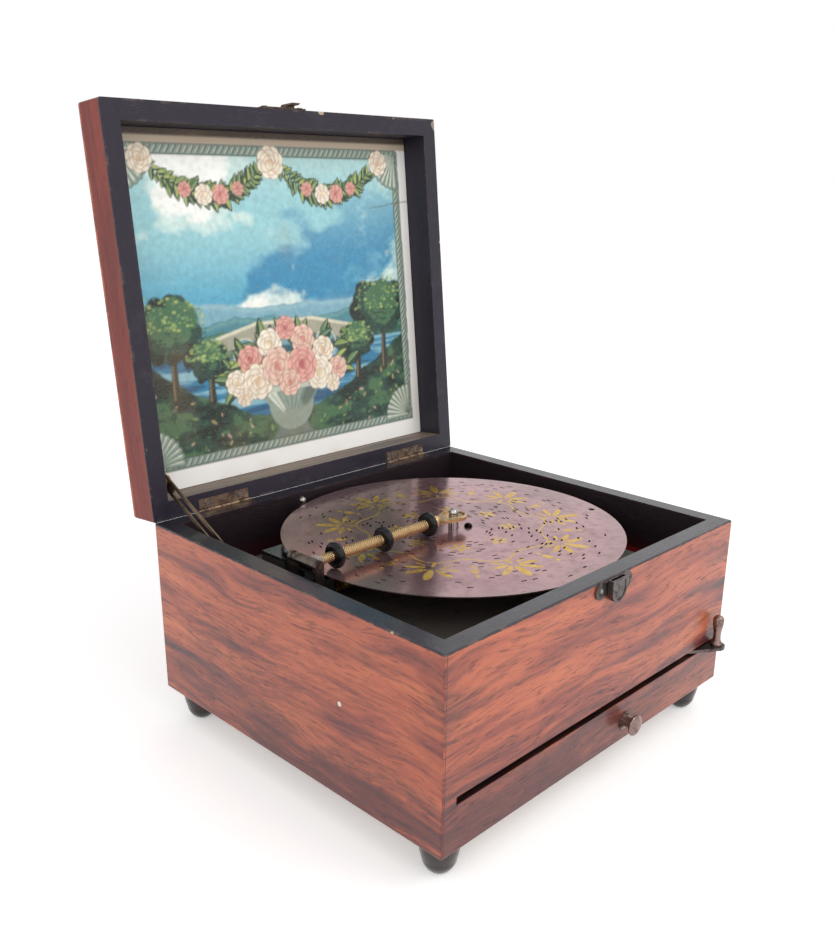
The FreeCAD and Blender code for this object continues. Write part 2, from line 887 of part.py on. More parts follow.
def stay_bar():
    """A slotted bar: its upper eye turns on the lid, and the stud on the case wall runs in its slot."""
    slope = math.atan2(stay_stud_z - stay_pivot_z, stay_stud_y - stay_pivot_y)

    def along(distance, side=0.0):
        return (stay_pivot_y + distance * math.cos(slope) - side * math.sin(slope),
                stay_pivot_z + distance * math.sin(slope) + side * math.cos(slope))

    def strip(start, end, half, x0, x1):
        corners = [along(start, half), along(end, half), along(end, -half), along(start, -half)]
        sides = upright_plate(corners, x0, x1)
        ends = [rod(half, V(x0, *along(place)), x1 - x0, X_AXIS) for place in (start, end)]
        return joined(sides, ends)

    half = stay_width / 2
    bar = strip(0, stay_length - 2 * half, half, stay_outer_x, stay_inner_x)
    slot_half = stay_slot_width / 2
    slot = strip(stay_slot_start + slot_half, stay_slot_end - slot_half, slot_half,
                 stay_outer_x - past, stay_inner_x + past)
    eye = rod(stay_pivot_radius + running_fit, V(stay_outer_x - past, stay_pivot_y, stay_pivot_z),
              stay_thickness + 2 * past, X_AXIS)
    return bar.cut([slot, eye])


def stay_pivot_screw():
    """A shouldered screw in the lid's left rail."""
    shank = rod(stay_shank_radius, V(-inner_x - stay_screw_depth, stay_pivot_y, stay_pivot_z),
                stay_screw_depth, X_AXIS)
    collar = rod(stay_pivot_head, V(-inner_x, stay_pivot_y, stay_pivot_z),
                 stay_clear_of_wall - running_fit, X_AXIS)
    journal = rod(stay_pivot_radius, V(-inner_x, stay_pivot_y, stay_pivot_z),
                  stay_clear_of_wall + stay_thickness + running_fit, X_AXIS)
    head = rod(stay_pivot_head, V(stay_inner_x + running_fit, stay_pivot_y, stay_pivot_z),
               stay_pivot_head_length, X_AXIS)
    return joined(shank, [collar, journal, head])


def stay_pivot_hole():
    depth = stay_screw_depth + screw_fit
    mouth = V(-inner_x - depth, stay_pivot_y, stay_pivot_z)
    return rod(stay_shank_radius + screw_fit, mouth, depth + past, X_AXIS)


def stay_stud():
    """The stud stops just short of the bar's face, where the four-bar loop is opened."""
    end = stay_outer_x - seat_gap
    start = -inner_x - stay_screw_depth
    stem = rod(stay_stud_radius, V(start, stay_stud_y, stay_stud_z), end - start, X_AXIS)
    flange = rod(stay_pivot_head, V(-inner_x, stay_stud_y, stay_stud_z), stay_flange_thickness, X_AXIS)
    return joined(stem, [flange])


def stay_stud_hole():
    depth = stay_screw_depth + screw_fit
    mouth = V(-inner_x - depth, stay_stud_y, stay_stud_z)
    return rod(stay_stud_radius + screw_fit, mouth, depth + past, X_AXIS)


# ---------------------------------------------------------------- bedplate and motor frame
def support_spots():
    edge = support_size / 2 + support_inset
    return ((bed_left + edge, bed_front + edge), (bed_left + edge, bed_rear - edge),
            (bed_right - edge, bed_rear - edge),
            (bed_right - edge, bed_front + edge + front_right_support_back))


def bed_supports():
    half = support_size / 2
    solids = []
    for x, y in support_spots():
        block = box(x - half, x + half, y - half, y + half, floor_top, bed_bottom)
        hole_bottom = V(x, y, bed_top - bed_screw_length - screw_fit)
        hole = rod(bed_screw_radius + screw_fit, hole_bottom, bed_screw_length)
        solids.append(block.cut(hole))
    return group(solids)


def bed_screws():
    return [screw(V(x, y, bed_top - bed_screw_length), Z_AXIS, bed_screw_length, bed_screw_radius,
                  bed_screw_head, bed_screw_head_height) for x, y in support_spots()]


def pillar_spots():
    xs = (motor_left + pillar_inset, motor_right - pillar_inset)
    ys = (motor_front + pillar_inset, motor_rear - pillar_inset)
    return [(x, y) for x in xs for y in ys]


def bedplate():
    plate = box(bed_left, bed_right, bed_front, bed_rear, bed_bottom, bed_top)
    corners = [edge for edge in plate.Edges if edge.BoundBox.ZLength > bed_thickness - 0.01]
    plate = plate.makeFillet(bed_corner, corners)
    lug = box(guide_post_x - guide_lug_half, guide_post_x + guide_lug_half, bed_rear - past,
              guide_post_y + guide_lug_half - past, bed_bottom, bed_top)
    plate = joined(plate, [lug])
    depth = bed_thickness + 2 * past
    low = bed_bottom - past
    holes = [rod(hub_radius + running_fit, V(spindle_x, spindle_y, low), depth)]
    holes.append(rod(arbor_journal + running_fit, V(barrel_x, barrel_y, low), depth))
    holes.append(rod(governor_pivot + running_fit, V(governor_x, governor_y, low), depth))
    holes += [rod(pillar_tenon, V(x, y, low), depth) for x, y in pillar_spots()]
    holes += [rod(bed_screw_radius + screw_fit, V(x, y, low), depth) for x, y in support_spots()]
    holes += [rod(machine_screw_radius, V(x, y, low), depth) for x, y in bed_screw_holes()]
    holes.append(rod(guide_stem_radius, V(guide_post_x, guide_post_y, low), depth))
    return plate.cut(holes)


def bed_screw_holes():
    return comb_screw_spots() + arm_screw_spots()


def motor_plate():
    plate = box(motor_left, motor_right, motor_front, motor_rear, motor_bottom, motor_top)
    depth = motor_plate_thickness + 2 * past
    low = motor_bottom - past
    holes = [rod(arbor_radius + running_fit, V(barrel_x, barrel_y, low), depth)]
    holes.append(rod(post_tenon, V(spindle_x, spindle_y, low), depth))
    holes.append(rod(governor_pivot + running_fit, V(governor_x, governor_y, low), depth))
    holes += [rod(machine_screw_radius, V(x, y, low), depth) for x, y in pillar_spots() + worm_screw_spots()]
    holes.append(rod(pawl_pin_radius + running_fit, V(*click_pivot(), low), depth))
    reach = start_rod_radius + start_hole_margin
    holes.append(box(start_finger_x - reach, start_finger_x + reach, finger_y - reach,
                     finger_y + start_travel + reach, low, motor_top + past))
    return plate.cut(holes)


def pillars():
    solids = []
    for x, y in pillar_spots():
        body = rod(pillar_radius, V(x, y, motor_top), motor_gap)
        tenon = rod(pillar_tenon, V(x, y, bed_bottom), bed_thickness)
        bore = rod(machine_screw_radius, V(x, y, motor_top), pillar_screw_depth)
        solids.append(joined(body, [tenon]).cut(bore))
    return group(solids)


def pillar_screws():
    tip = motor_top + pillar_screw_depth
    return [screw(V(x, y, tip), V(0, 0, -1), tip - motor_bottom, machine_screw_radius,
                  machine_screw_head, machine_screw_head_height) for x, y in pillar_spots()]


# ---------------------------------------------------------------- star wheels and comb
def track_radius(track):
    return first_track + track * track_pitch


def star_x(track):
    return spindle_x - track_radius(track)


def star_wheels():
    """One eight-toothed wheel under each track of the disc, all turning on one shaft."""
    step = 360.0 / star_teeth
    tip = math.degrees(star_tip / star_radius)
    corners = []
    for tooth in range(star_teeth):
        middle = tooth * step + step / 2
        corners.append(polar(star_root, middle - step / 2))
        corners.append(polar(star_radius, middle - tip))
        corners.append(polar(star_radius, middle + tip))
    wheel = prism(corners, -star_thickness / 2, star_thickness / 2)
    wheel = wheel.cut(rod(star_shaft_radius + running_fit, V(0, 0, -star_thickness), 2 * star_thickness))
    wheel.rotate(V(0, 0, 0), Y_AXIS, 90)
    solids = []
    for track in range(track_count):
        copy = wheel.copy()
        copy.translate(V(star_x(track), spindle_y, star_z))
        solids.append(copy)
    return group(solids)


def star_bracket():
    """Two posts on the bedplate and the fixed shaft between them."""
    inner = star_x(0) + track_pitch
    outer = star_x(track_count - 1) - track_pitch
    half = star_post_depth / 2
    spans = ((inner, inner + star_post_thickness), (outer - star_post_thickness, outer))
    posts = [box(x0, x1, spindle_y - half, spindle_y + half, bed_top, star_z + star_post_above)
             for x0, x1 in spans]
    shaft = rod(star_shaft_radius, V(spans[1][0], spindle_y, star_z), spans[0][1] - spans[1][0], X_AXIS)
    return group([post.cut(shaft) for post in posts] + [shaft])


def comb_edges():
    return star_x(track_count - 1) - track_pitch / 2, star_x(0) + track_pitch / 2


def comb():
    """Steel comb: each tooth stands in line with its star wheel, and the outer bass teeth are longer."""
    outer, inner = comb_edges()
    half = comb_tooth_width / 2
    corners = [(inner, comb_rear), (outer, comb_rear)]
    for track in reversed(range(track_count)):
        middle = star_x(track)
        share = track / (track_count - 1)
        root = comb_front + comb_short_slit + (comb_long_slit - comb_short_slit) * share
        corners += [(middle - half, root), (middle - half, comb_front)]
        corners += [(middle + half, comb_front), (middle + half, root)]
    plate = prism(corners, comb_bottom, comb_top)
    return plate.cut([rod(machine_screw_radius, V(x, y, comb_bottom - past), comb_thickness + 2 * past)
                      for x, y in comb_screw_spots()])


def comb_base():
    outer, inner = comb_edges()
    front = comb_rear - comb_base_depth + comb_base_set_in
    block = box(outer, inner, front, comb_rear, bed_top, comb_bottom)
    return block.cut([rod(machine_screw_radius, V(x, y, bed_top - past), comb_bottom - bed_top + 2 * past)
                      for x, y in comb_screw_spots()])


def comb_weights():
    """Tuning weights under the ends of the longest teeth."""
    half = comb_tooth_width / 2
    solids = []
    for number in range(weighted_teeth):
        middle = star_x(track_count - 1 - number)
        start = comb_front + weight_set_back
        end = start + weight_longest - weight_step * number
        solids.append(box(middle - half, middle + half, start, end, comb_bottom - weight_height, comb_bottom))
    return group(solids)


def comb_screw_spots():
    outer, inner = comb_edges()
    step = (inner - outer) / comb_screw_count
    y = comb_rear - comb_screw_from_rear
    return [(outer + step * (place + 0.5), y) for place in range(comb_screw_count)]


def comb_screws():
    return [screw(V(x, y, bed_bottom), Z_AXIS, comb_top - bed_bottom, machine_screw_radius,
                  machine_screw_head, machine_screw_head_height) for x, y in comb_screw_spots()]


# ---------------------------------------------------------------- spindle, hub and disc
def centre_post():
    """The fixed spindle: the hub turns on it, and its pointed tip stands through the arm's end plate."""
    tip = post_shoulder + spindle_tip_height
    cheek = post_shoulder + 0.58 * spindle_tip_height
    profile = [
        (0, motor_bottom),
        (post_tenon, motor_bottom),
        (post_tenon, motor_top),
        (post_body_radius, motor_top),
        (post_body_radius, hub_bottom - seat_gap),
        (spindle_radius, hub_bottom - seat_gap),
        (spindle_radius, post_shoulder),
        (spindle_tip_radius, post_shoulder),
        (spindle_tip_radius, cheek),
        ((0.72 * spindle_tip_radius, (cheek + tip) / 2 + 0.35), (dome_flat, tip)),
        (0, tip),
    ]
    return lathe(profile, V(spindle_x, spindle_y, 0))


def peg_spot():
    return polar(peg_circle, peg_angle, (spindle_x, spindle_y))


def drive_hub():
    """The sleeve, its pinion and flange, and the peg that carries the disc round."""
    centre = (spindle_x, spindle_y)
    sleeve = rod(hub_radius, V(spindle_x, spindle_y, hub_bottom), disc_bottom - hub_bottom)
    pinion = prism(gear_outline(centre_teeth, power_module, 90, centre), hub_bottom, centre_pinion_top)
    flange = rod(hub_flange_radius, V(spindle_x, spindle_y, disc_bottom - hub_flange_thickness),
                 hub_flange_thickness)
    peg = domed(peg_radius, disc_thickness + peg_straight, disc_thickness + peg_height,
                V(*peg_spot(), disc_bottom))
    bore = rod(spindle_radius + running_fit, V(spindle_x, spindle_y, hub_bottom - past),
               disc_bottom - hub_bottom + 2 * past)
    return joined(pinion, [sleeve, flange, peg]).cut(bore)


def main_wheel():
    centre = (spindle_x, spindle_y)
    outline = gear_outline(main_teeth, speed_module, governor_bearing, centre)
    wheel = prism(outline, main_wheel_bottom, main_wheel_top)
    return wheel.cut(rod(hub_radius, V(spindle_x, spindle_y, main_wheel_bottom - past),
                         main_wheel_thickness + 2 * past))


def slot_wire(radius, degrees):
    """A round-ended slot along the disc's track."""
    half = (slot_length - slot_width) / 2
    side = slot_width / 2
    turn = math.radians(degrees)
    out = V(math.cos(turn), math.sin(turn), 0)
    on = V(-math.sin(turn), math.cos(turn), 0)
    middle = V(spindle_x, spindle_y, disc_bottom) + out * radius
    a = middle - on * half - out * side
    b = middle + on * half - out * side
    c = middle + on * half + out * side
    d = middle - on * half + out * side
    cap_b = middle + on * (half + side)
    cap_d = middle - on * (half + side)
    return Part.Wire([Part.LineSegment(a, b).toShape(), Part.Arc(b, cap_b, c).toShape(),
                      Part.LineSegment(c, d).toShape(), Part.Arc(d, cap_d, a).toShape()])


def hole_wire(radius, x, y):
    return Part.Wire([Part.makeCircle(radius, V(x, y, disc_bottom))])


def slot_angles(track, chooser):
    """Seeded places round one track, kept clear of each other and of the edge hole."""
    clear = math.degrees(slot_spacing * slot_length / track_radius(track))
    angles = []
    for _ in range(slot_tries):
        angle = chooser.uniform(0, 360)
        near = [abs((angle - other + 180) % 360 - 180) < clear for other in angles]
        by_hole = abs((angle - edge_hole_angle + 180) % 360 - 180) < edge_hole_clear
        if not any(near) and not by_hole:
            angles.append(angle)
        if len(angles) == slots_per_track:
            break
    return angles


def disc():
    """The tune disc: slots on the tracks, the centre hole, the drive hole and a small hole near the edge."""
    chooser = random.Random(slot_seed)
    holes = [hole_wire(disc_centre_hole, spindle_x, spindle_y), hole_wire(drive_hole_radius, *peg_spot()),
             hole_wire(edge_hole_radius, *polar(edge_hole_circle, edge_hole_angle, (spindle_x, spindle_y)))]
    for track in range(track_count):
        holes += [slot_wire(track_radius(track), angle) for angle in slot_angles(track, chooser)]
    wires = Part.makeCompound([hole_wire(disc_radius, spindle_x, spindle_y)] + holes)
    sheet = Part.makeFace(wires, "Part::FaceMakerBullseye")
    return sheet.extrude(V(0, 0, disc_thickness))


# ---------------------------------------------------------------- spring barrel and winding
def barrel_drum():
    outer = rod(drum_radius, V(barrel_x, barrel_y, drum_bottom), drum_height)
    inner = rod(drum_radius - drum_wall, V(barrel_x, barrel_y, drum_bottom + drum_wall), drum_height)
    bore = rod(arbor_radius + running_fit, V(barrel_x, barrel_y, drum_bottom - past), drum_height)
    return outer.cut([inner, bore])


def great_wheel():
    """The barrel's toothed cover."""
    centre = (barrel_x, barrel_y)
    half_pitch = 180.0 / great_teeth
    wheel = prism(gear_outline(great_teeth, power_module, 90 + half_pitch, centre), drum_top, great_top)
    return wheel.cut(rod(arbor_radius + running_fit, V(barrel_x, barrel_y, drum_top - past),
                         great_wheel_thickness + 2 * past))


def mainspring():
    """A strip wound in half circles about two centres, so that each half turn is a little wider."""
    outer_limit = drum_radius - drum_wall - seat_gap
    shift = spring_pitch / 4
    radius = spring_inner
    side = 1
    inner_edges = []
    outer_edges = []
    position = V(barrel_x + radius, barrel_y, 0)
    low = drum_bottom + drum_wall + seat_gap
    while radius + spring_thickness + spring_pitch / 2 + shift < outer_limit:
        middle_x = position.x - side * radius
        top = V(middle_x, barrel_y + side * radius, 0)
        end = V(middle_x - side * radius, barrel_y, 0)
        inner_edges.append((position, top, end))
        grown = radius + spring_thickness
        outer_edges.append((V(middle_x + side * grown, barrel_y, 0), V(middle_x, barrel_y + side * grown, 0),
                            V(middle_x - side * grown, barrel_y, 0)))
        position = end
        radius += spring_pitch / 2
        side = -side
    edges = [Part.Arc(*points).toShape() for points in inner_edges]
    edges.append(Part.LineSegment(inner_edges[-1][2], outer_edges[-1][2]).toShape())
    edges += [Part.Arc(*points[::-1]).toShape() for points in reversed(outer_edges)]
    edges.append(Part.LineSegment(outer_edges[0][0], inner_edges[0][0]).toShape())
    strip = Part.Face(Part.Wire(edges)).extrude(V(0, 0, spring_height))
    strip.translate(V(0, 0, low))
    return strip


def winding_arbor():
    """The arbor, its ratchet wheel, and the collars that hold the lever and carry the barrel."""
    foot = lever_bottom - seat_gap - arbor_collar_height
    shoulder = great_top + arbor_shoulder
    shaft = rod(arbor_radius, V(barrel_x, barrel_y, foot), shoulder - foot)
    journal = rod(arbor_journal, V(barrel_x, barrel_y, shoulder), bed_top - arbor_below_bed - shoulder)
    collar = rod(arbor_collar_radius, V(barrel_x, barrel_y, foot), arbor_collar_height)
    step_bottom = motor_top + seat_gap
    shelf = rod(arbor_shelf_radius, V(barrel_x, barrel_y, step_bottom), drum_bottom - seat_gap - step_bottom)
    pitch = 360.0 / ratchet_teeth
    corners = []
    for tooth in range(ratchet_teeth):
        edge = ratchet_edge() + tooth * pitch
        corners.append(polar(ratchet_radius, edge, (barrel_x, barrel_y)))
        corners.append(polar(ratchet_root, edge, (barrel_x, barrel_y)))
    ratchet = prism(corners, ratchet_bottom, ratchet_top)
    return joined(shaft, [journal, collar, shelf, ratchet])


def ratchet_edge():
    return lever_rest_angle + pawl_pivot_lead - pawl_sweep - tooth_to_pawl


def winding_lever():
    """A flat lever with a round boss, which leaves the case through the slot."""
    tip = polar(lever_length, lever_rest_angle, (barrel_x, barrel_y))
    plate = stretched_outline((barrel_x, barrel_y), tip, lever_width / 2, lever_width / 2,
                              lever_bottom, lever_top)
    boss = rod(lever_boss_radius, V(barrel_x, barrel_y, lever_bottom), lever_thickness)
    low = lever_bottom - past
    depth = lever_thickness + 2 * past
    bore = rod(arbor_radius + running_fit, V(barrel_x, barrel_y, low), depth)
    tenon = rod(handle_tenon, V(*tip, low), depth)
    pin = rod(pawl_pin_radius + running_fit, V(*pawl_pivot(), low), depth)
    return joined(plate, [boss]).cut([bore, tenon, pin])


def lever_handle():
    """A small turned post: foot ring, waist, bulb and cap."""
    height = handle_height
    widest = handle_foot_radius
    profile = [
        (0, -lever_thickness - handle_rivet_height),
        (handle_tenon + rivet_over, -lever_thickness - handle_rivet_height),
        (handle_tenon + rivet_over, -lever_thickness),
        (handle_tenon, -lever_thickness),
        (handle_tenon, 0),
        (widest, 0),
        (widest, handle_foot_height),
        ((0.82 * widest, 0.11 * height), (0.68 * widest, 0.16 * height)),
        ((0.62 * widest, 0.36 * height), (0.66 * widest, 0.5 * height)),
        ((0.84 * widest, 0.66 * height), (0.88 * widest, 0.8 * height)),
        ((0.68 * widest, 0.95 * height), (dome_flat, height)),
        (0, height),
    ]
    return lathe(profile, V(*polar(lever_length, lever_rest_angle, (barrel_x, barrel_y)), lever_top))


def pawl_pivot():
    return polar(pawl_pivot_radius, lever_rest_angle + pawl_pivot_lead, (barrel_x, barrel_y))


def hooked_arm(pivot, nose, z0, z1):
    """A tapering arm from a round boss to a blunt nose."""
    heading = math.degrees(math.atan2(nose[1] - pivot[1], nose[0] - pivot[0]))
    corners = [
        polar(pawl_root_half, heading + 90, pivot),
        polar(pawl_root_half, heading - 90, pivot),
        polar(pawl_nose_half, heading - 90, nose),
        polar(pawl_nose_half, heading + 90, nose),
    ]
    return joined(prism(corners, z0, z1), [rod(pawl_boss, V(*pivot, z0), z1 - z0)])


def lever_pawl():
    """The driving pawl, with its pivot pin through the lever."""
    nose = polar(pawl_nose_radius, lever_rest_angle + pawl_pivot_lead - pawl_sweep, (barrel_x, barrel_y))
    low = lever_top + seat_gap
    arm = hooked_arm(pawl_pivot(), nose, low, low + pawl_thickness)
    pin_end = lever_bottom - seat_gap
    pin = rod(pawl_pin_radius, V(*pawl_pivot(), pin_end), low - pin_end)
    head = rod(pawl_pin_radius + pin_head_over, V(*pawl_pivot(), pin_end - pawl_pin_head_height),
               pawl_pin_head_height)
    return joined(arm, [pin, head])


def click_pivot():
    return polar(pawl_pivot_radius, click_pivot_angle, (barrel_x, barrel_y))


def holding_click():
    """The click under the motor plate that keeps the spring from running back."""
    nose = polar(click_nose_radius, click_pivot_angle - pawl_sweep, (barrel_x, barrel_y))
    arm = hooked_arm(click_pivot(), nose, ratchet_bottom, ratchet_top)
    pin_end = motor_top + seat_gap
    pin = rod(pawl_pin_radius, V(*click_pivot(), ratchet_top), pin_end - ratchet_top)
    head = rod(pawl_pin_radius + pin_head_over, V(*click_pivot(), pin_end), click_pin_head_height)
    return joined(arm, [pin, head])


# ---------------------------------------------------------------- governor
def governor_arbor():
    """An upright arbor whose pinion is driven by the main wheel."""
    centre = (governor_x, governor_y)
    pivot_low = motor_bottom + seat_gap
    pivots = rod(governor_pivot, V(governor_x, governor_y, pivot_low), bed_top - seat_gap - pivot_low)
    body_low = motor_top + seat_gap
    shaft = rod(governor_shaft, V(governor_x, governor_y, body_low), bed_bottom - seat_gap - body_low)
    half_pitch = 180.0 / governor_teeth
    pinion = prism(gear_outline(governor_teeth, speed_module, governor_bearing + 180 + half_pitch, centre),
                   main_wheel_bottom - governor_pinion_over, main_wheel_top + governor_pinion_over)
    return joined(shaft, [pivots, pinion])


def worm_wheel():
    centre = (governor_x, governor_y)
    wheel = prism(gear_outline(worm_wheel_teeth, worm_module, 90, centre), worm_wheel_bottom,
                  worm_wheel_bottom + worm_wheel_thickness)
    return wheel.cut(rod(governor_shaft, V(governor_x, governor_y, worm_wheel_bottom - past),
                         worm_wheel_thickness + 2 * past))


def worm_shaft():
    """A shaft with a right-handed single thread; a thread space faces the wheel's tooth."""
    start = worm_left
    shaft_start = start + worm_bracket_thickness + seat_gap
    shaft_end = worm_right - worm_bracket_thickness - seat_gap
    core = rod(worm_shaft_radius, V(0, 0, shaft_start - start), shaft_end - shaft_start)
    ends = rod(worm_journal, V(0, 0, 0), worm_right - worm_left)
    half_base = worm_lead * worm_thread_share / 2 + worm_thread_taper
    half_tip = worm_lead * worm_thread_share / 2 - worm_thread_taper
    tip_radius = worm_pitch_radius + addendum_share * worm_module
    sunk = worm_root_radius - worm_thread_root
    helix = Part.makeHelix(worm_lead, worm_length, worm_pitch_radius)
    profile = Part.makePolygon([V(sunk, 0, -half_base), V(tip_radius, 0, -half_tip),
                                V(tip_radius, 0, half_tip), V(sunk, 0, half_base), V(sunk, 0, -half_base)])
    thread = Part.Wire(helix).makePipeShell([profile], True, True)
    thread = Part.makeSolid(thread) if thread.ShapeType != "Solid" else thread
    thread_start = governor_x - start - worm_length / 2
    thread.translate(V(0, 0, thread_start))
    root = rod(worm_root_radius, V(0, 0, thread_start - past), worm_length + 2 * past)
    solid = root.fuse([core, ends, thread])
    solid.rotate(V(0, 0, 0), Z_AXIS, worm_facing_turn())
    solid.rotate(V(0, 0, 0), Y_AXIS, 90)
    solid.translate(V(start, worm_y, worm_z))
    return solid


def worm_facing_turn():
    """Turns the thread so that it is half a lead away from the wheel's centre line on the wheel's side."""
    half_turns = worm_length / 2 / worm_lead
    thread_at_middle = 360.0 * half_turns
    wheel_side = -90.0
    return wheel_side - thread_at_middle + 180.0


def fly():
    """A boss with two flat vanes."""
    x0 = fly_x - fly_length / 2
    boss = rod(fly_boss, V(x0, worm_y, worm_z), fly_length, X_AXIS)
    vanes = box(x0, x0 + fly_length, worm_y - fly_vane / 2, worm_y + fly_vane / 2,
                worm_z - fly_radius, worm_z + fly_radius)
    bore = rod(worm_shaft_radius, V(x0 - past, worm_y, worm_z), fly_length + 2 * past, X_AXIS)
    return joined(boss, [vanes]).cut(bore)


def worm_screw_spots():
    back = worm_foot_length / 2
    return [(worm_left - back, worm_y), (worm_right - worm_bracket_thickness - back, worm_y)]


def worm_brackets():
    half = worm_bracket_width / 2
    solids = []
    for index, x0 in enumerate((worm_left, worm_right - worm_bracket_thickness)):
        upright = box(x0, x0 + worm_bracket_thickness, worm_y - half, worm_y + half,
                      motor_top, worm_z + worm_bracket_over)
        foot = box(x0 - worm_foot_length, x0, worm_y - half, worm_y + half,
                   motor_top, motor_top + worm_foot_thickness)
        x, y = worm_screw_spots()[index]
        bore = rod(worm_journal + running_fit, V(x0 - past, worm_y, worm_z),
                   worm_bracket_thickness + 2 * past, X_AXIS)
        hole = rod(machine_screw_radius, V(x, y, motor_top - past), worm_foot_thickness + 2 * past)
        solids.append(joined(upright, [foot]).cut([bore, hole]))
    return group(solids)


def worm_screws():
    top = motor_top + worm_foot_thickness
    return [screw(V(x, y, motor_bottom), Z_AXIS, top - motor_bottom, machine_screw_radius, machine_screw_head,
                  machine_screw_head_height) for x, y in worm_screw_spots()]


# ---------------------------------------------------------------- start knob
def start_knob():
    """A turned knob whose rod runs back under the motor and turns up as a finger beside the fly."""
    stem = start_stem_length
    widest = start_head_radius
    thick = start_head_thickness
    profile = [
        (0, 0),
        (start_stem_radius, 0),
        (start_stem_radius, stem),
        (0.87 * widest, stem),
        ((widest, stem + 0.24 * thick), (0.92 * widest, stem + 0.58 * thick)),
        ((0.6 * widest, stem + 0.88 * thick), (dome_flat, stem + thick)),
        (0, stem + thick),
    ]
    inner_end = front_y - start_head_back + stem
    knob = lathe(profile, V(start_x, inner_end, start_z), V(0, -1, 0))
    radius = start_rod_radius
    corner = V(start_x, finger_y, start_z)
    turn = V(start_finger_x, finger_y, start_z)
    back_rod = rod(radius, V(start_x, inner_end - past, start_z), finger_y - inner_end + past, Y_AXIS)
    cross = rod(radius, corner, start_finger_x - start_x, X_AXIS)
    finger = rod(radius, turn, worm_z + start_finger_above_worm - start_z)
    elbows = [Part.makeSphere(radius, corner), Part.makeSphere(radius, turn)]
    return knob.fuse([back_rod, cross, finger] + elbows)


def start_rosette():
    """A stepped ring round the knob's stem."""
    face = front_y - start_rosette_thickness
    rim = start_rosette_thickness / 2
    lower = rod(start_rosette_radius, V(start_x, front_y - rim, start_z), rim, Y_AXIS)
    upper = rod(0.8 * start_rosette_radius, V(start_x, face, start_z), start_rosette_thickness, Y_AXIS)
    bore = rod(start_stem_radius + running_fit, V(start_x, face - past, start_z),
               start_rosette_thickness + 2 * past, Y_AXIS)
    return joined(lower, [upper]).cut(bore)


# ---------------------------------------------------------------- pressure arm
def arm_screw_spots():
    x = arm_pivot_x + arm_screw_from_pin
    reach = arm_ear_thickness + arm_screw_from_ear
    return [(x, arm_bracket_front + reach), (x, arm_bracket_rear - reach)]


def arm_bracket():
    """A foot on the bedplate with two round-topped ears that hold the arm's pin."""
    x0 = bed_left
    x1 = arm_pivot_x + arm_ear_radius + arm_foot_margin
    foot = box(x0, x1, arm_bracket_front, arm_bracket_rear, bed_top, bed_top + arm_foot_thickness)
    parts = []
    for y0 in (arm_bracket_front, arm_bracket_rear - arm_ear_thickness):
        parts.append(box(arm_pivot_x - arm_ear_back, arm_pivot_x + arm_ear_radius, y0, y0 + arm_ear_thickness,
                         bed_top, arm_z))
        parts.append(rod(arm_ear_radius, V(arm_pivot_x, y0, arm_z), arm_ear_thickness, Y_AXIS))
    bore = rod(arm_pin_radius, V(arm_pivot_x, arm_bracket_front - past, arm_z),
               arm_bracket_rear - arm_bracket_front + 2 * past, Y_AXIS)
    holes = [rod(machine_screw_radius, V(x, y, bed_top - past), arm_foot_thickness + 2 * past)
             for x, y in arm_screw_spots()]
    return joined(foot, parts).cut([bore] + holes)


def arm_screws():
    top = bed_top + arm_foot_thickness
    return [screw(V(x, y, bed_bottom), Z_AXIS, top - bed_bottom, machine_screw_radius, machine_screw_head,
                  machine_screw_head_height) for x, y in arm_screw_spots()]


def arm_pin():
    length = arm_bracket_rear - arm_bracket_front + 2 * arm_pin_proud
    return rod(arm_pin_radius, V(arm_pivot_x, arm_bracket_front - arm_pin_proud, arm_z), length, Y_AXIS)


def arm_rod():
    """The arm's steel core: a barrel on the pin, a short tongue and a long round rod."""
    y0 = arm_bracket_front + arm_ear_thickness + seat_gap
    y1 = arm_bracket_rear - arm_ear_thickness - seat_gap
    barrel = rod(arm_barrel_radius, V(arm_pivot_x, y0, arm_z), y1 - y0, Y_AXIS)
    barrel_top = arm_z + arm_barrel_radius
    cap = box(arm_pivot_x - arm_barrel_radius, arm_pivot_x + arm_barrel_radius, y0 - past, y1 + past,
              barrel_top - arm_barrel_flat, barrel_top + past)
    tongue = box(arm_pivot_x, arm_tongue_end, spindle_y - arm_tongue_half, spindle_y + arm_tongue_half,
                 arm_z - arm_tongue_below, arm_z + arm_tongue_above)
    core = rod(arm_rod_radius, V(arm_pivot_x, spindle_y, arm_z), arm_rod_end - arm_pivot_x, X_AXIS)
    bore = rod(arm_pin_radius + running_fit, V(arm_pivot_x, y0 - past, arm_z), y1 - y0 + 2 * past, Y_AXIS)
    return joined(barrel.cut(cap), [tongue, core]).cut(bore)


def arm_sleeves():
    """Knurled brass tubes on the core that space the rollers."""
    gap = roller_width / 2 + seat_gap
    first, second, third = roller_places
    spans = [(arm_tongue_end, first - gap, arm_short_radius), (first + gap, second - gap, arm_tube_radius),
             (second + gap, third - gap, arm_tube_radius)]
    return group([ring(radius, arm_rod_radius, V(x0, spindle_y, arm_z), x1 - x0, X_AXIS)
                  for x0, x1, radius in spans])


def roller(x):
    """A wheel with a round rim that turns on the arm and keeps the disc flat."""
    half = roller_width / 2
    face = roller_radius - half
    profile = [
        (arm_rod_radius + running_fit, -half),
        (face, -half),
        ((roller_radius, 0), (face, half)),
        (arm_rod_radius + running_fit, half),
    ]
    return lathe(profile, V(x, spindle_y, arm_z), X_AXIS)


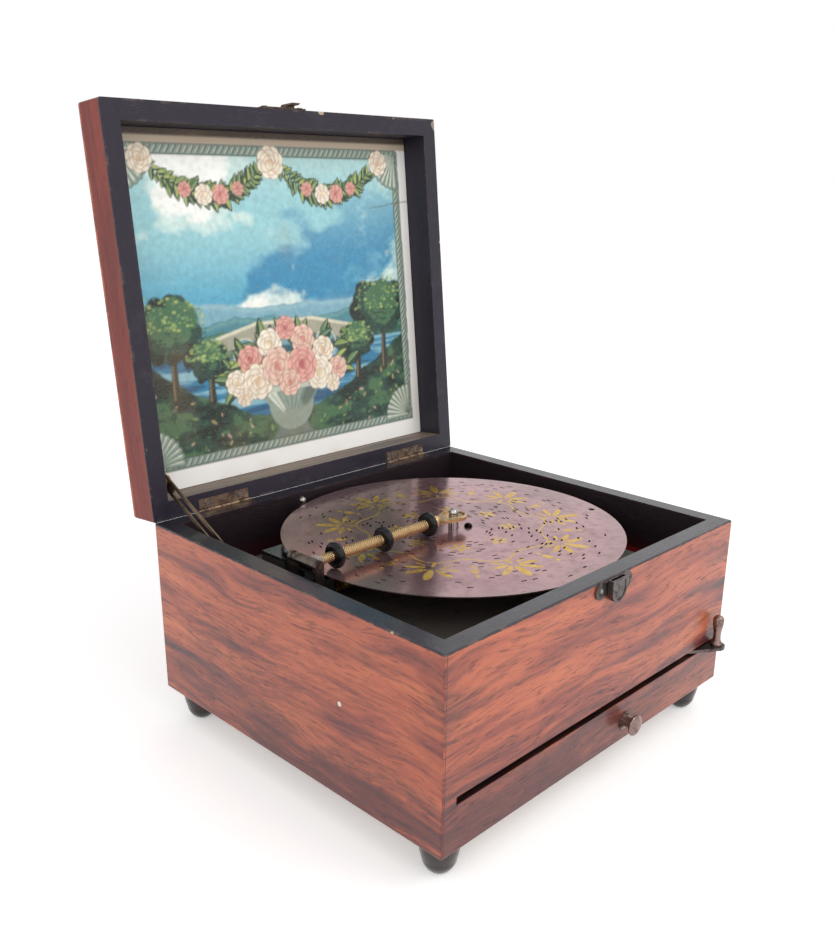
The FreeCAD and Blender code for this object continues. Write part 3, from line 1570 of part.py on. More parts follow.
def spindle_latch():
    """The arm's spoon-like end plate, which drops over the spindle's tip, and the ball it grows from."""
    low = end_plate_bottom
    high = low + end_plate_thickness
    flat_x = roller_places[2] + roller_width / 2 + seat_gap
    ball_x = flat_x + end_ball_radius - end_ball_flat
    plate = stretched_outline((spindle_x, spindle_y), (ball_x, spindle_y), end_plate_radius, end_plate_neck,
                              low, high)
    dish = rod(end_plate_radius - end_plate_border, V(spindle_x, spindle_y, high - end_plate_dish), past)
    ball = Part.makeSphere(end_ball_radius, V(ball_x, spindle_y, arm_z))
    size = end_ball_radius + past
    beyond = box(flat_x - size, flat_x, spindle_y - size, spindle_y + size, arm_z - size, arm_z + size)
    ball = ball.cut(beyond)
    core = rod(arm_rod_radius, V(flat_x - past, spindle_y, arm_z), arm_rod_end - flat_x + past, X_AXIS)
    hole = rod(spindle_tip_radius + end_plate_hole_fit, V(spindle_x, spindle_y, low - past),
               end_plate_thickness + 2 * past)
    return joined(plate.cut(dish), [ball]).cut([core, hole])


def guide_post():
    """A ball-headed post beside the disc's edge, on the bedplate's lug."""
    ball_z = rim_z - guide_ball_below_rim
    stem = rod(guide_stem_radius, V(guide_post_x, guide_post_y, bed_bottom), ball_z - bed_bottom)
    washer = rod(guide_ball_radius + guide_washer_over, V(guide_post_x, guide_post_y, bed_top),
                 guide_washer_height)
    collar_z = ball_z - guide_ball_radius - guide_collar_height / 2
    collar = rod(guide_ball_radius - guide_collar_under, V(guide_post_x, guide_post_y, collar_z),
                 guide_collar_height)
    ball = Part.makeSphere(guide_ball_radius, V(guide_post_x, guide_post_y, ball_z))
    return stem.fuse([washer, collar, ball])


# ---------------------------------------------------------------- all the pieces
def pieces():
    boards = case_boards()
    rails = lid_rails()
    found = {
        "front_board": boards["front"],
        "back_board": boards["back"],
        "left_board": boards["left"],
        "right_board": boards["right"],
        "floor_board": floor_board(),
        "feet": feet(),
        "lid_front_rail": opened(rails["front"]),
        "lid_hinge_rail": opened(rails["back"]),
        "lid_side_rails": opened(group([rails["left"], rails["right"]])),
        "lid_top_panel": opened(lid_panel()),
        "lid_print": opened(lid_sheet()),
        "case_hinge_leaves": case_hinge_leaves(),
        "lid_hinge_leaves": opened(lid_hinge_leaves()),
        "hinge_pins": hinge_pins(),
        "case_wood_screws": group(case_leaf_screws() + foot_screws() + bed_screws() + rivets()),
        "lid_wood_screws": opened(group(lid_leaf_screws() + catch_screws())),
        "latch_plate": latch_plate(),
        "latch_slide": latch_slide(),
        "lid_catch": opened(lid_catch()),
        "stay_bar": stay_bar(),
        "stay_pivot_screw": stay_pivot_screw(),
        "stay_stud": stay_stud(),
        "bedplate": bedplate(),
        "bed_supports": bed_supports(),
        "pillars": pillars(),
        "motor_plate": motor_plate(),
        "machine_screws": group(comb_screws() + pillar_screws() + worm_screws() + arm_screws()),
        "comb": comb(),
        "comb_base": comb_base(),
        "comb_weights": comb_weights(),
        "star_wheels": star_wheels(),
        "star_bracket": star_bracket(),
        "centre_post": centre_post(),
        "drive_hub": drive_hub(),
        "main_wheel": main_wheel(),
        "disc": disc(),
        "barrel_drum": barrel_drum(),
        "great_wheel": great_wheel(),
        "mainspring": mainspring(),
        "winding_arbor": winding_arbor(),
        "winding_lever": winding_lever(),
        "lever_handle": lever_handle(),
        "lever_pawl": lever_pawl(),
        "holding_click": holding_click(),
        "governor_arbor": governor_arbor(),
        "worm_wheel": worm_wheel(),
        "worm_shaft": worm_shaft(),
        "fly": fly(),
        "worm_brackets": worm_brackets(),
        "start_knob": start_knob(),
        "start_rosette": start_rosette(),
        "arm_bracket": arm_bracket(),
        "arm_pin": arm_pin(),
        "arm_rod": arm_rod(),
        "arm_sleeves": arm_sleeves(),
        "spindle_latch": spindle_latch(),
        "guide_post": guide_post(),
    }
    for name, x in zip(("roller_outer", "roller_middle", "roller_inner"), roller_places):
        found[name] = roller(x)
    return found


def main():
    os.makedirs("parts", exist_ok=True)
    for name, shape in pieces().items():
        shape.exportStep("parts/" + name + ".step")
        bounds = shape.BoundBox
        print("%-20s solids %2d valid %s volume %10.1f  x %7.1f %7.1f  y %7.1f %7.1f  z %7.1f %7.1f" % (
            name, len(shape.Solids), shape.isValid(), shape.Volume, bounds.XMin, bounds.XMax,
            bounds.YMin, bounds.YMax, bounds.ZMin, bounds.ZMax))


main()
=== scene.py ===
import json
import math

import bmesh
import bpy
import numpy as np
from mathutils import Matrix, Vector


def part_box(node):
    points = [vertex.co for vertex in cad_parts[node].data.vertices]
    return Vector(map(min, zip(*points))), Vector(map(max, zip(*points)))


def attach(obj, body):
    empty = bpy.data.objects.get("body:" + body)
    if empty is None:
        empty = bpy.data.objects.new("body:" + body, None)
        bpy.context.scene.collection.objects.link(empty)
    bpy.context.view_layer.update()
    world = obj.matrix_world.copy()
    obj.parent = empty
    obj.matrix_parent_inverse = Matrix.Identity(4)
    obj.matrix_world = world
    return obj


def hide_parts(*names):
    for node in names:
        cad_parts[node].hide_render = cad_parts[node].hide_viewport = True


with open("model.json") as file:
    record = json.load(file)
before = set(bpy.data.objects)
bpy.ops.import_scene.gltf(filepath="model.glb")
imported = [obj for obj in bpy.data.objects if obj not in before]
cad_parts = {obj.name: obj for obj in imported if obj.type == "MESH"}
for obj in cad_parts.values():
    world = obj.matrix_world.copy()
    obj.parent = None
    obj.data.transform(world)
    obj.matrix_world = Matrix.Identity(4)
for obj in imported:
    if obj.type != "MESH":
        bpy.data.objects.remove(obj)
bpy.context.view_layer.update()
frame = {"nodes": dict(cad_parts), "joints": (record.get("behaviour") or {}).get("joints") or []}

NODES = frame["nodes"]

bl_info = {
    "name": "Disc Music Box",
    "version": (1, 0, 0),
    "blender": (4, 5, 0),
    "location": "View3D > Sidebar > Music Box",
    "description": "Finishes and fine pieces of a table disc music box",
    "category": "Object",
}


# ---------------- measures taken from the frame
def middle(node):
    low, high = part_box(node)
    return (low + high) / 2


BACK_LOW, BACK_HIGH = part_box("back_board")
LEFT_LOW, LEFT_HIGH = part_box("left_board")
RIM_Z = BACK_HIGH.z
CASE_BOTTOM = BACK_LOW.z
HALF_WIDTH = -LEFT_LOW.x
HALF_DEPTH = BACK_HIGH.y
INNER_X = -LEFT_HIGH.x
INNER_Y = -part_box("front_board")[1].y
WALL = HALF_WIDTH - INNER_X
DISC_LOW, DISC_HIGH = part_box("disc")
SPINDLE = middle("disc")
DISC_RADIUS = (DISC_HIGH.x - DISC_LOW.x) / 2
PIN = middle("hinge_pins")
ARM_PIN = middle("arm_pin")
SLOT_Z = middle("winding_lever").z
LID_TURN = next(joint for joint in frame["joints"] if joint["name"] == "lid_hinge")["range_deg"][1]
SLOT_HALF_HEIGHT = 0.0031
PLAIN_END = 0.0006                  # over which the knurls fade out at a tube's ends
LIT_STRIP_PLACE = (-0.0665, 0.0945)      # Y and Z of the middle of the painted strip of light, a bright red band, on the right inner wall
FLECK_PLACE = (-0.0475, 0.0755)     # Y and Z of the chip in the left face
NICK_X = 0.0250                     # the larger chip in the lid's front edge
VIEW_TURN, VIEW_HEIGHT, VIEW_ROLL = -46.33, 18.54, 0.87
LENS_SHIFT = (-0.01767, 0.03630)
FLOOR_REACH = 12.0
FLOOR_GLOW = 0.34

# ---------------- colours of the painted sheet
LEAF_LIGHTS = ("#7f9c52", "#a9b860", "#5c8458", "#4a7668")
IVORY = ("#fffbea", "#e6cfa4")
BLUSH = ("#f6d8c4", "#d08a7c")
PINK = ("#f3b9ac", "#b9605f")
CREAM = ("#fdf6e2", "#dfc09a")


def paint(code):
    """A colour code as the linear red, green and blue that materials use."""
    parts = [int(code[i:i + 2], 16) / 255 for i in (1, 3, 5)]
    return tuple(p / 12.92 if p <= 0.04045 else ((p + 0.055) / 1.055) ** 2.4 for p in parts)


# ---------------- sizes and colours
def colour(name, code, description):
    return bpy.props.FloatVectorProperty(name=name, description=description, subtype="COLOR", size=3,
                                         min=0.0, max=1.0, default=paint(code))


def length(name, value, description):
    return bpy.props.FloatProperty(name=name, description=description, default=value, min=0.0,
                                   subtype="DISTANCE", unit="LENGTH", precision=5)


def level(name, value, description):
    return bpy.props.FloatProperty(name=name, description=description, default=value, min=0.0)


def count(name, value, description):
    return bpy.props.IntProperty(name=name, description=description, default=value, min=3)


class MusicBoxColours(bpy.types.PropertyGroup):
    veneer_light: colour("Veneer light", "#b35839", "Lightest colour of the stained veneer")
    veneer_middle: colour("Veneer middle", "#87392b", "Main colour of the stained veneer")
    veneer_glow: colour("Veneer glow", "#c96d44", "Brightest parts of the stained veneer")
    veneer_dark: colour("Veneer streaks", "#3a191d", "Dark streaks of the stained veneer")
    # darkest grain, and the painted shade low on the case and towards its corners
    veneer_shade: colour("Veneer shade", "#4a2228", "Darkened areas low on the case and in its corners")
    lid_side: colour("Lid sides", "#701d12", "Main colour of the lid's plain sides")
    rim_black: colour("Rim", "#1e1a25", "Black polish of the case's rim")
    lid_rim: colour("Lid rim", "#2c2733", "Black polish of the lid's rim and inner walls")
    bare_wood: colour("Bare wood", "#b9a48c", "Wood where the polish has come off")
    inside_black: colour("Inside", "#1c0f15", "Stain of the inner walls near the rim")
    inside_red: colour("Inside red", "#5d1016", "Stain of the inner walls lower down")
    # painted light: the pale grey-brown of the lid's hinge-rail inner face, where light falls on its dark
    # glossy polish
    lit_ledge: colour("Ledge", "#83705f", "Unpolished inner face of the lid's hinge rail")
    raw_wood: colour("Raw wood", "#9b7448", "Unstained wood inside and underneath")
    disc_plum: colour("Disc", "#bb9396", "Coated steel of the tune disc")
    disc_rust: colour("Disc rust", "#5a4038", "Rust and dirt on the tune disc")
    ornament_gold: colour("Ornament", "#c99a35", "Gold ornament on the tune disc")
    brass: colour("Brass", "#d9b788", "Clean brass")
    old_brass: colour("Old brass", "#8f7a66", "Tarnished brass of the hinges and the stay")
    bronze: colour("Bronze", "#957d77", "Dull bronze of the knob and the handle")
    iron: colour("Iron", "#68615f", "Dark iron of the latch and the lever")
    steel: colour("Steel", "#b5b5b8", "Bright steel")
    blue_steel: colour("Comb steel", "#7d8088", "Hardened steel of the comb")
    bed: colour("Bedplate", "#4b4541", "Painted iron of the bedplate")
    ebony: colour("Ebony", "#0c0c0e", "Black gloss of the rollers")
    foot_brown: colour("Feet", "#24130f", "Dark brown polish of the feet")


class MusicBoxPicture(bpy.types.PropertyGroup):
    cell: length("Cell", 0.00075, "Size of one cell of the painted sheet")
    side_margin: length("Side margin", 0.0075, "Bare paper along the right edge")
    foot_margin: length("Foot margin", 0.0120, "Bare paper along the hinge edge")
    head_band: length("Head band", 0.0080, "Plain band along the free edge")
    wave: length("Wave", 0.00018, "How far the old paper lifts from the panel")


class MusicBoxArm(bpy.types.PropertyGroup):
    knurl_pitch: length("Knurl pitch", 0.0017, "Spacing of the diamonds on the brass tubes")
    knurl_depth: length("Knurl depth", 0.00030, "Depth of the diamonds on the brass tubes")


class MusicBoxDisc(bpy.types.PropertyGroup):
    leaf_circle: length("Leaf circle", 0.066, "Radius of the ring of leaf sprays")
    flower_circle: length("Flower circle", 0.034, "Radius of the ring of small flowers")
    leaf_count: count("Sprays", 9, "Leaf sprays round the disc")
    flower_count: count("Flowers", 8, "Flowers round the disc")


class MusicBoxStudio(bpy.types.PropertyGroup):
    camera_place: bpy.props.FloatVectorProperty(name="Camera", description="Where the camera stands", size=3,
                                                subtype="XYZ", unit="LENGTH",
                                                default=(-0.416559, -0.384719, 0.330014))
    camera_lens: level("Lens", 37.757, "Focal length in millimetres")
    key_power: level("Key", 8.5, "Power of the main lamp in watts")
    fill_power: level("Fill", 4.0, "Power of the side lamp in watts")
    front_power: level("Front", 3.5, "Power of the front lamp in watts")
    sky_level: level("Surroundings", 0.80, "Light from all round")
    floor_colour: colour("Floor", "#f4f3f3", "Pale floor")


def colours():
    return bpy.context.scene.music_box_colours


# ---------------- short calls for building a finish
class NodeCalls:
    """Short calls for the nodes of one tree."""

    def __init__(self, owner, shader_type):
        owner.use_nodes = True
        self.tree = owner.node_tree
        self.shader = next(node for node in self.tree.nodes if node.type == shader_type)

    def feed(self, socket, value):
        """Links a socket, or sets it; a colour may be a code or its red, green and blue."""
        if isinstance(value, bpy.types.NodeSocket):
            self.tree.links.new(value, socket)
            return
        if isinstance(value, str):
            value = paint(value)
        if socket.type == "RGBA" and len(value) == 3:
            value = (*value, 1.0)
        socket.default_value = value

    def shade(self, socket, value):
        self.feed(self.shader.inputs[socket], value)

    def node(self, kind, feeds, out=0, **settings):
        node = self.tree.nodes.new(kind)
        for key, value in settings.items():
            setattr(node, key, value)
        for key, value in feeds.items():
            self.feed(node.inputs[key], value)
        return node.outputs[out]

    def point(self):
        return self.node("ShaderNodeTexCoord", {}, out="Object")

    def maths(self, operation, a, b=0.0, c=0.0):
        return self.node("ShaderNodeMath", {0: a, 1: b, 2: c}, operation=operation)

    def split(self, vector):
        node = self.tree.nodes.new("ShaderNodeSeparateXYZ")
        self.feed(node.inputs[0], vector)
        return node.outputs[0], node.outputs[1], node.outputs[2]

    def join(self, x, y, z):
        return self.node("ShaderNodeCombineXYZ", {0: x, 1: y, 2: z})

    def stretched(self, vector, scale):
        """A vector times one number or three."""
        scale = scale if isinstance(scale, tuple) else (scale,) * 3
        return self.node("ShaderNodeVectorMath", {0: vector, 1: scale}, operation="MULTIPLY")

    def placed(self, vector, location=(0, 0, 0), rotation=(0, 0, 0), scale=(1, 1, 1), kind="POINT"):
        return self.node("ShaderNodeMapping", {"Vector": vector, "Location": location, "Rotation": rotation,
                                               "Scale": scale}, vector_type=kind)

    def span(self, vector):
        return self.node("ShaderNodeVectorMath", {0: vector}, out="Value", operation="LENGTH")

    def distance(self, vector, place):
        return self.node("ShaderNodeVectorMath", {0: vector, 1: place}, out="Value", operation="DISTANCE")

    def grain(self, vector, scale, detail=3.0, rough=0.55, bend=0.0):
        return self.node("ShaderNodeTexNoise", {"Vector": self.stretched(vector, scale), "Scale": 1.0,
                                                "Detail": detail, "Roughness": rough, "Distortion": bend})

    def cells(self, vector, scale):
        return self.node("ShaderNodeTexVoronoi", {"Vector": self.stretched(vector, scale), "Scale": 1.0})

    def step(self, value, low, high):
        return self.node("ShaderNodeMapRange", {0: value, 1: low, 2: high}, interpolation_type="SMOOTHSTEP")

    def band(self, value, centre, low, high):
        """A step on how far a value is from a centre."""
        return self.step(self.size(self.less(value, centre)), low, high)

    def mix(self, share, a, b):
        return self.node("ShaderNodeMix", {0: share, 6: a, 7: b}, out=2, data_type="RGBA")

    def over(self, base, mask, share, tint):
        """A base colour with another laid over it by a share of a mask."""
        return self.mix(self.both(mask, share), base, tint)

    def ramp(self, value, stops):
        node = self.tree.nodes.new("ShaderNodeValToRGB")
        band = node.color_ramp
        while len(band.elements) < len(stops):
            band.elements.new(0.5)
        for element, (place, tint) in zip(band.elements, stops):
            element.position = place
            element.color = (*tint, 1.0)
        self.feed(node.inputs[0], value)
        return node.outputs[0]

    def plus(self, a, b):
        return self.maths("ADD", a, b)

    def less(self, a, b):
        return self.maths("SUBTRACT", a, b)

    def scaled(self, value, by, more):
        return self.maths("MULTIPLY_ADD", value, by, more)

    def size(self, value):
        return self.maths("ABSOLUTE", value)

    def both(self, a, b):
        return self.maths("MULTIPLY", a, b)

    def either(self, a, b):
        return self.maths("MAXIMUM", a, b)

    def without(self, a):
        return self.less(1.0, a)

    def dented(self, height, strength, depth):
        return self.node("ShaderNodeBump", {"Strength": strength, "Distance": depth, "Height": height})

    def seen_directly(self):
        """1 where the camera, a gloss or a clear piece looks straight at a thing, and 0 elsewhere."""
        rays = self.tree.nodes.new("ShaderNodeLightPath").outputs
        direct = self.either(rays["Is Camera Ray"], rays["Is Glossy Ray"])
        return self.either(direct, rays["Is Transmission Ray"])

    def closed_lid(self, vector):
        """Turns a point of the open lid back to where it is with the lid shut."""
        turn = Matrix.Rotation(math.radians(LID_TURN), 3, "X")
        pin = Vector((0.0, PIN.y, PIN.z))
        return self.placed(vector, location=pin - turn @ pin, rotation=(math.radians(LID_TURN), 0, 0))


class Finish(NodeCalls):
    """A Principled material with its nodes."""

    def __init__(self, name, sockets=None):
        self.material = bpy.data.materials.new(name)
        super().__init__(self.material, "BSDF_PRINCIPLED")
        for socket, value in (sockets or {}).items():
            self.shade(socket, value)

    def surface(self, base, rough, relief, strength, depth):
        """Colour, roughness and relief at once."""
        self.shade("Base Color", base)
        self.shade("Roughness", rough)
        self.shade("Normal", self.dented(relief, strength, depth))

    def repaint(self, share, tint):
        """Lays one more colour over the finish."""
        under = self.shader.inputs["Base Color"].links[0].from_socket
        self.shade("Base Color", self.mix(share, under, tint))


def give(finish, *names):
    """Gives a finish to CAD nodes or to made pieces."""
    for name in names:
        mesh = (NODES[name] if isinstance(name, str) else name).data
        mesh.materials.clear()
        mesh.materials.append(finish.material)


def smooth_edges(piece, degrees=35.0):
    """Rounded shading with crisp edges."""
    piece.data.polygons.foreach_set("use_smooth", [True] * len(piece.data.polygons))
    piece.data.set_sharp_from_angle(angle=math.radians(degrees))


def made(name, shape, body, finish):
    """Turns a bmesh into a piece that rides on a body."""
    mesh = bpy.data.meshes.new(name)
    shape.to_mesh(mesh)
    shape.free()
    piece = bpy.data.objects.new(name, mesh)
    bpy.context.scene.collection.objects.link(piece)
    give(finish, piece)
    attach(piece, body)
    return piece


# ---------------- wood finishes
def veneer(name, lengthways, lid=False, plain=False):
    """Stained veneer outside, black polish on the rim, and dark stain inside."""
    tints = colours()
    f = Finish(name, {"Coat Weight": 0.10 if lid else 0.35, "Coat Roughness": 0.16,
                      "Specular IOR Level": 0.25 if lid else 0.45})
    spot = f.closed_lid(f.point()) if lid else f.point()
    x, y, z = f.split(spot)
    along, across, through = {"X": (x, z, y), "Y": (y, z, x), "TOP": (x, y, z)}[lengthways]
    board = f.join(along, across, through)

    wander = f.grain(board, (7.0, 16.0, 16.0), detail=2.0)
    drift = f.scaled(wander, 0.034, across)
    flow = f.join(along, drift, through)
    bands = f.grain(flow, (6.0, 62.0, 40.0), detail=6.0, rough=0.66, bend=0.2)
    ribbons = f.grain(flow, (18.0, 260.0, 120.0), detail=5.0, rough=0.66)
    pores = f.grain(flow, (95.0, 950.0, 500.0), detail=3.0, rough=0.6)
    fleck = f.grain(flow, (85.0, 640.0, 460.0), detail=4.0, rough=0.7)
    patches = f.grain(board, (8.0, 17.0, 15.0), detail=4.0, rough=0.62, bend=0.4)

    base = f.ramp(bands, [(0.33, tints.veneer_shade), (0.43, tints.veneer_middle), (0.53, tints.veneer_light),
                          (0.68, tints.veneer_glow)])
    if plain:
        base = f.mix(f.step(bands, 0.35, 0.65), tints.lid_side, "#88301d")
    streak = f.step(ribbons, 0.53, 0.63)
    base = f.over(base, streak, 0.30 if plain else 0.46, tints.veneer_dark)
    dash = f.step(pores, 0.56, 0.64)
    base = f.over(base, dash, 0.30 if plain else 0.50, tints.veneer_dark)
    if not plain:
        mottled = f.both(f.step(fleck, 0.50, 0.60), f.step(patches, 0.44, 0.58))
        base = f.over(base, mottled, 0.45, tints.veneer_dark)
    if not lid:
        # painted shade: the veneer is darkened low on the case and towards its vertical edges, in cloudy
        # patches
        low = f.step(z, CASE_BOTTOM + 0.060, CASE_BOTTOM + 0.004)
        edge = f.step(f.size(along), HALF_DEPTH * 0.80, HALF_WIDTH)
        gold_wear_and_case_shade = f.either(low, f.both(edge, 0.7))
        cloudy = f.plus(patches, f.both(f.less(ribbons, 0.5), 0.7))
        shade = f.both(gold_wear_and_case_shade, f.step(cloudy, 0.42, 0.60))
        base = f.over(base, shade, 0.74, tints.veneer_shade)
        if lengthways == "X":
            # the seam at the left edge, the darker strip under the slot, and painted shade on the slot's
            # inner walls
            base = f.over(base, f.band(x, 0.0017 - HALF_WIDTH, 0.00045, 0.00015), 0.8, tints.veneer_dark)
            below = f.step(z, CASE_BOTTOM + 0.0290, CASE_BOTTOM + 0.0265)
            base = f.over(base, below, 0.30, tints.veneer_dark)
            # painted shade: the slot's inner walls are painted almost black
            slot_shade = f.both(f.band(z, SLOT_Z, SLOT_HALF_HEIGHT + 0.0003, SLOT_HALF_HEIGHT),
                          f.step(y, -HALF_DEPTH + 0.0003, -HALF_DEPTH + 0.0007))
            base = f.over(base, slot_shade, 0.92, "#1a100f")

    # rim: black polish with a painted grey-blue sheen in patches, rubbed grey at its edges and down to the
    # wood in small chips
    rim_level = RIM_Z + 0.0003 if lid else RIM_Z
    height = f.plus(z, f.both(f.less(f.grain(spot, 260.0), 0.5), 0.0012))
    into = 1 if lid else -1
    rim = f.step(height, rim_level + into * 0.0011, rim_level + into * 0.0006)
    outward = f.either(f.less(f.size(x), HALF_WIDTH), f.less(f.size(y), HALF_DEPTH))
    rubbed_noise = f.grain(spot, 90.0, detail=5.0, rough=0.7)
    near_edge = f.step(outward, -0.0022, -0.0002)
    rubbed = f.both(near_edge, f.step(rubbed_noise, 0.50, 0.66))
    inner_edge = f.step(outward, 0.0016 - WALL, 0.0001 - WALL)
    rubbed = f.either(rubbed, f.both(f.both(inner_edge, 0.7), f.step(rubbed_noise, 0.52, 0.68)))
    # painted sheen: grey-blue patches over the black polish, standing in for the sky's reflection
    painted_sheen = f.step(f.grain(spot, 35.0, detail=6.0, rough=0.75), 0.52, 0.75)
    polish = f.over(tints.lid_rim if lid else tints.rim_black, painted_sheen, 0.35, "#4d4a4f")
    polish = f.over(polish, rubbed, 0.55, "#6d5d58")
    chips = f.step(f.cells(spot, 120.0), 0.16, 0.10)
    chips = f.both(f.both(chips, near_edge), f.step(rubbed_noise, 0.46, 0.54))
    if lid:
        ragged = f.scaled(rubbed_noise, 0.005, -0.0025)
        nick = f.distance(f.join(x, y, 0.0), (NICK_X, -HALF_DEPTH, 0.0))
        corner = f.distance(f.join(x, y, 0.0), (HALF_WIDTH, -HALF_DEPTH + 0.004, 0.0))
        chips = f.either(chips, f.step(f.plus(nick, ragged), 0.0024, 0.0019))
        chips = f.either(chips, f.both(f.step(f.plus(corner, ragged), 0.0032, 0.0024), 0.6))
    polish = f.mix(chips, polish, tints.bare_wood)
    base = f.mix(rim, base, polish)

    # inner walls
    inside = f.step(outward, 0.00035 - WALL, 0.00015 - WALL)
    depth = f.step(f.plus(z, f.both(wander, 0.02)), RIM_Z - 0.012, RIM_Z - 0.030)
    dark = tints.lid_rim if lid else tints.inside_black
    stain = f.over(dark, depth, 0.0 if lid else 0.75, tints.inside_red)
    stain = f.over(stain, f.step(ribbons, 0.5, 0.7), 0.5, dark)
    if lid and lengthways == "X":
        # painted light: the hinge rail's inner face is painted pale grey-brown where light falls on its dark
        # polish
        lit_wall = f.both(f.step(y, INNER_Y * 0.5, INNER_Y), f.step(bands, 0.30, 0.55))
        stain = f.over(stain, lit_wall, 0.9, tints.lit_ledge)
    if not lid and lengthways == "Y":
        # painted light: a bright red strip of light across the red stain of the right inner wall
        band = f.both(f.band(z, LIT_STRIP_PLACE[1], 0.0036, 0.0016), f.band(y, LIT_STRIP_PLACE[0], 0.0215, 0.0150))
        stain = f.mix(f.both(band, f.step(x, 0.0, 0.001)), stain, "#8e1220")
    inside = f.both(inside, f.without(rim))
    base = f.mix(inside, base, stain)

    # a tiny chip through the stain, and the unstained underside
    if not lid:
        if lengthways == "Y":
            fleck_spot = f.distance(spot, (-HALF_WIDTH, *FLECK_PLACE))
            base = f.mix(f.step(fleck_spot, 0.0016, 0.0011), base, "#e8ddd0")
        under = f.step(z, CASE_BOTTOM + 0.0006, CASE_BOTTOM + 0.0002)
        base = f.mix(under, base, tints.raw_wood)

    gloss = f.plus(f.scaled(patches, 0.28, 0.24), f.both(dash, 0.16))
    rim_gloss = f.scaled(rubbed_noise, 0.30, 0.16)
    gloss = f.node("ShaderNodeMix", {0: rim, 2: gloss, 3: rim_gloss})
    gloss = f.node("ShaderNodeMix", {0: inside, 2: gloss, 3: 0.5})
    relief = f.less(f.both(bands, 0.5), f.both(dash, 0.6))
    f.surface(base, gloss, f.less(relief, f.both(chips, 2.0)), 0.35, 0.0004)
    return f


def raw_wood(name, lengthways):
    """Unstained wood with rings and fibres."""
    f = Finish(name, {"Specular IOR Level": 0.3})
    x, y, z = f.split(f.point())
    board = f.join(x, y, z) if lengthways == "X" else f.join(z, x, y)
    rings = f.grain(board, (9.0, 60.0, 60.0), detail=5.0, rough=0.6, bend=0.3)
    fibres = f.grain(board, (120.0, 1400.0, 1400.0), detail=2.0)
    base = f.mix(f.step(rings, 0.35, 0.65), colours().raw_wood, "#7d5a36")
    base = f.over(base, f.step(fibres, 0.5, 0.72), 0.5, "#5f4228")
    f.surface(base, f.scaled(fibres, 0.3, 0.55), fibres, 0.4, 0.0003)
    return f


def ebony(name, tint, scale, coat):
    """Dark gloss with faint dust and dull places."""
    f = Finish(name, {"Coat Weight": coat, "Coat Roughness": 0.05, "Specular IOR Level": 0.2 + 0.3 * coat})
    spot = f.point()
    dust = f.grain(spot, scale, detail=5.0, rough=0.7)
    wear = f.grain(spot, 90.0, detail=4.0, rough=0.65)
    base = f.over(tint, f.step(dust, 0.58, 0.8), 0.25, "#332f2f")
    base = f.over(base, f.step(wear, 0.60, 0.75), 0.4, "#241a18")
    f.surface(base, f.scaled(wear, 0.30, 0.10), dust, 0.10, 0.0002)
    return f


# ---------------- metal finishes
def metal(name, clean, stained, size, gloss, share=(0.45, 0.70), scratch=0.25, metallic=1.0, brushed=None):
    """Metal with patches of tarnish, fine scratches and pits."""
    f = Finish(name, {"Metallic": metallic})
    spot = f.point()
    patches = f.grain(spot, size, detail=6.0, rough=0.68, bend=0.3)
    pits = f.grain(spot, size * 9, detail=3.0, rough=0.6)
    lines = f.grain(spot, brushed or (size * 2, size * 26, size * 7), detail=2.0, rough=0.5, bend=0.2)
    dull = f.step(f.scaled(pits, 0.25, patches), share[0] + 0.12, share[1] + 0.12)
    base = f.mix(dull, clean, stained)
    base = f.over(base, f.step(lines, 0.52, 0.72), scratch, stained)
    rough = f.scaled(lines, 0.12, f.scaled(dull, gloss[1], gloss[0]))
    relief = f.less(f.both(lines, 0.5), f.both(f.step(pits, 0.60, 0.75), 0.6))
    f.surface(base, rough, relief, 0.22, 0.0002)
    return f


def give_metals(*table):
    """Each row is a metal's name, clean and stained colour, size of patches, gloss and nodes."""
    for name, clean, stained, size, gloss, nodes in table:
        give(metal(name, clean, stained, size, gloss), *nodes.split())


def old_hinge_brass(name):
    """Brass with pinkish bare spots and pale corrosion."""
    f = metal(name, colours().old_brass, "#5a4a42", 160.0, (0.32, 0.30), share=(0.42, 0.62))
    crust = f.grain(f.point(), 230.0, detail=6.0, rough=0.75)
    f.repaint(f.both(f.step(crust, 0.56, 0.70), 0.75), "#c9b3a4")
    return f


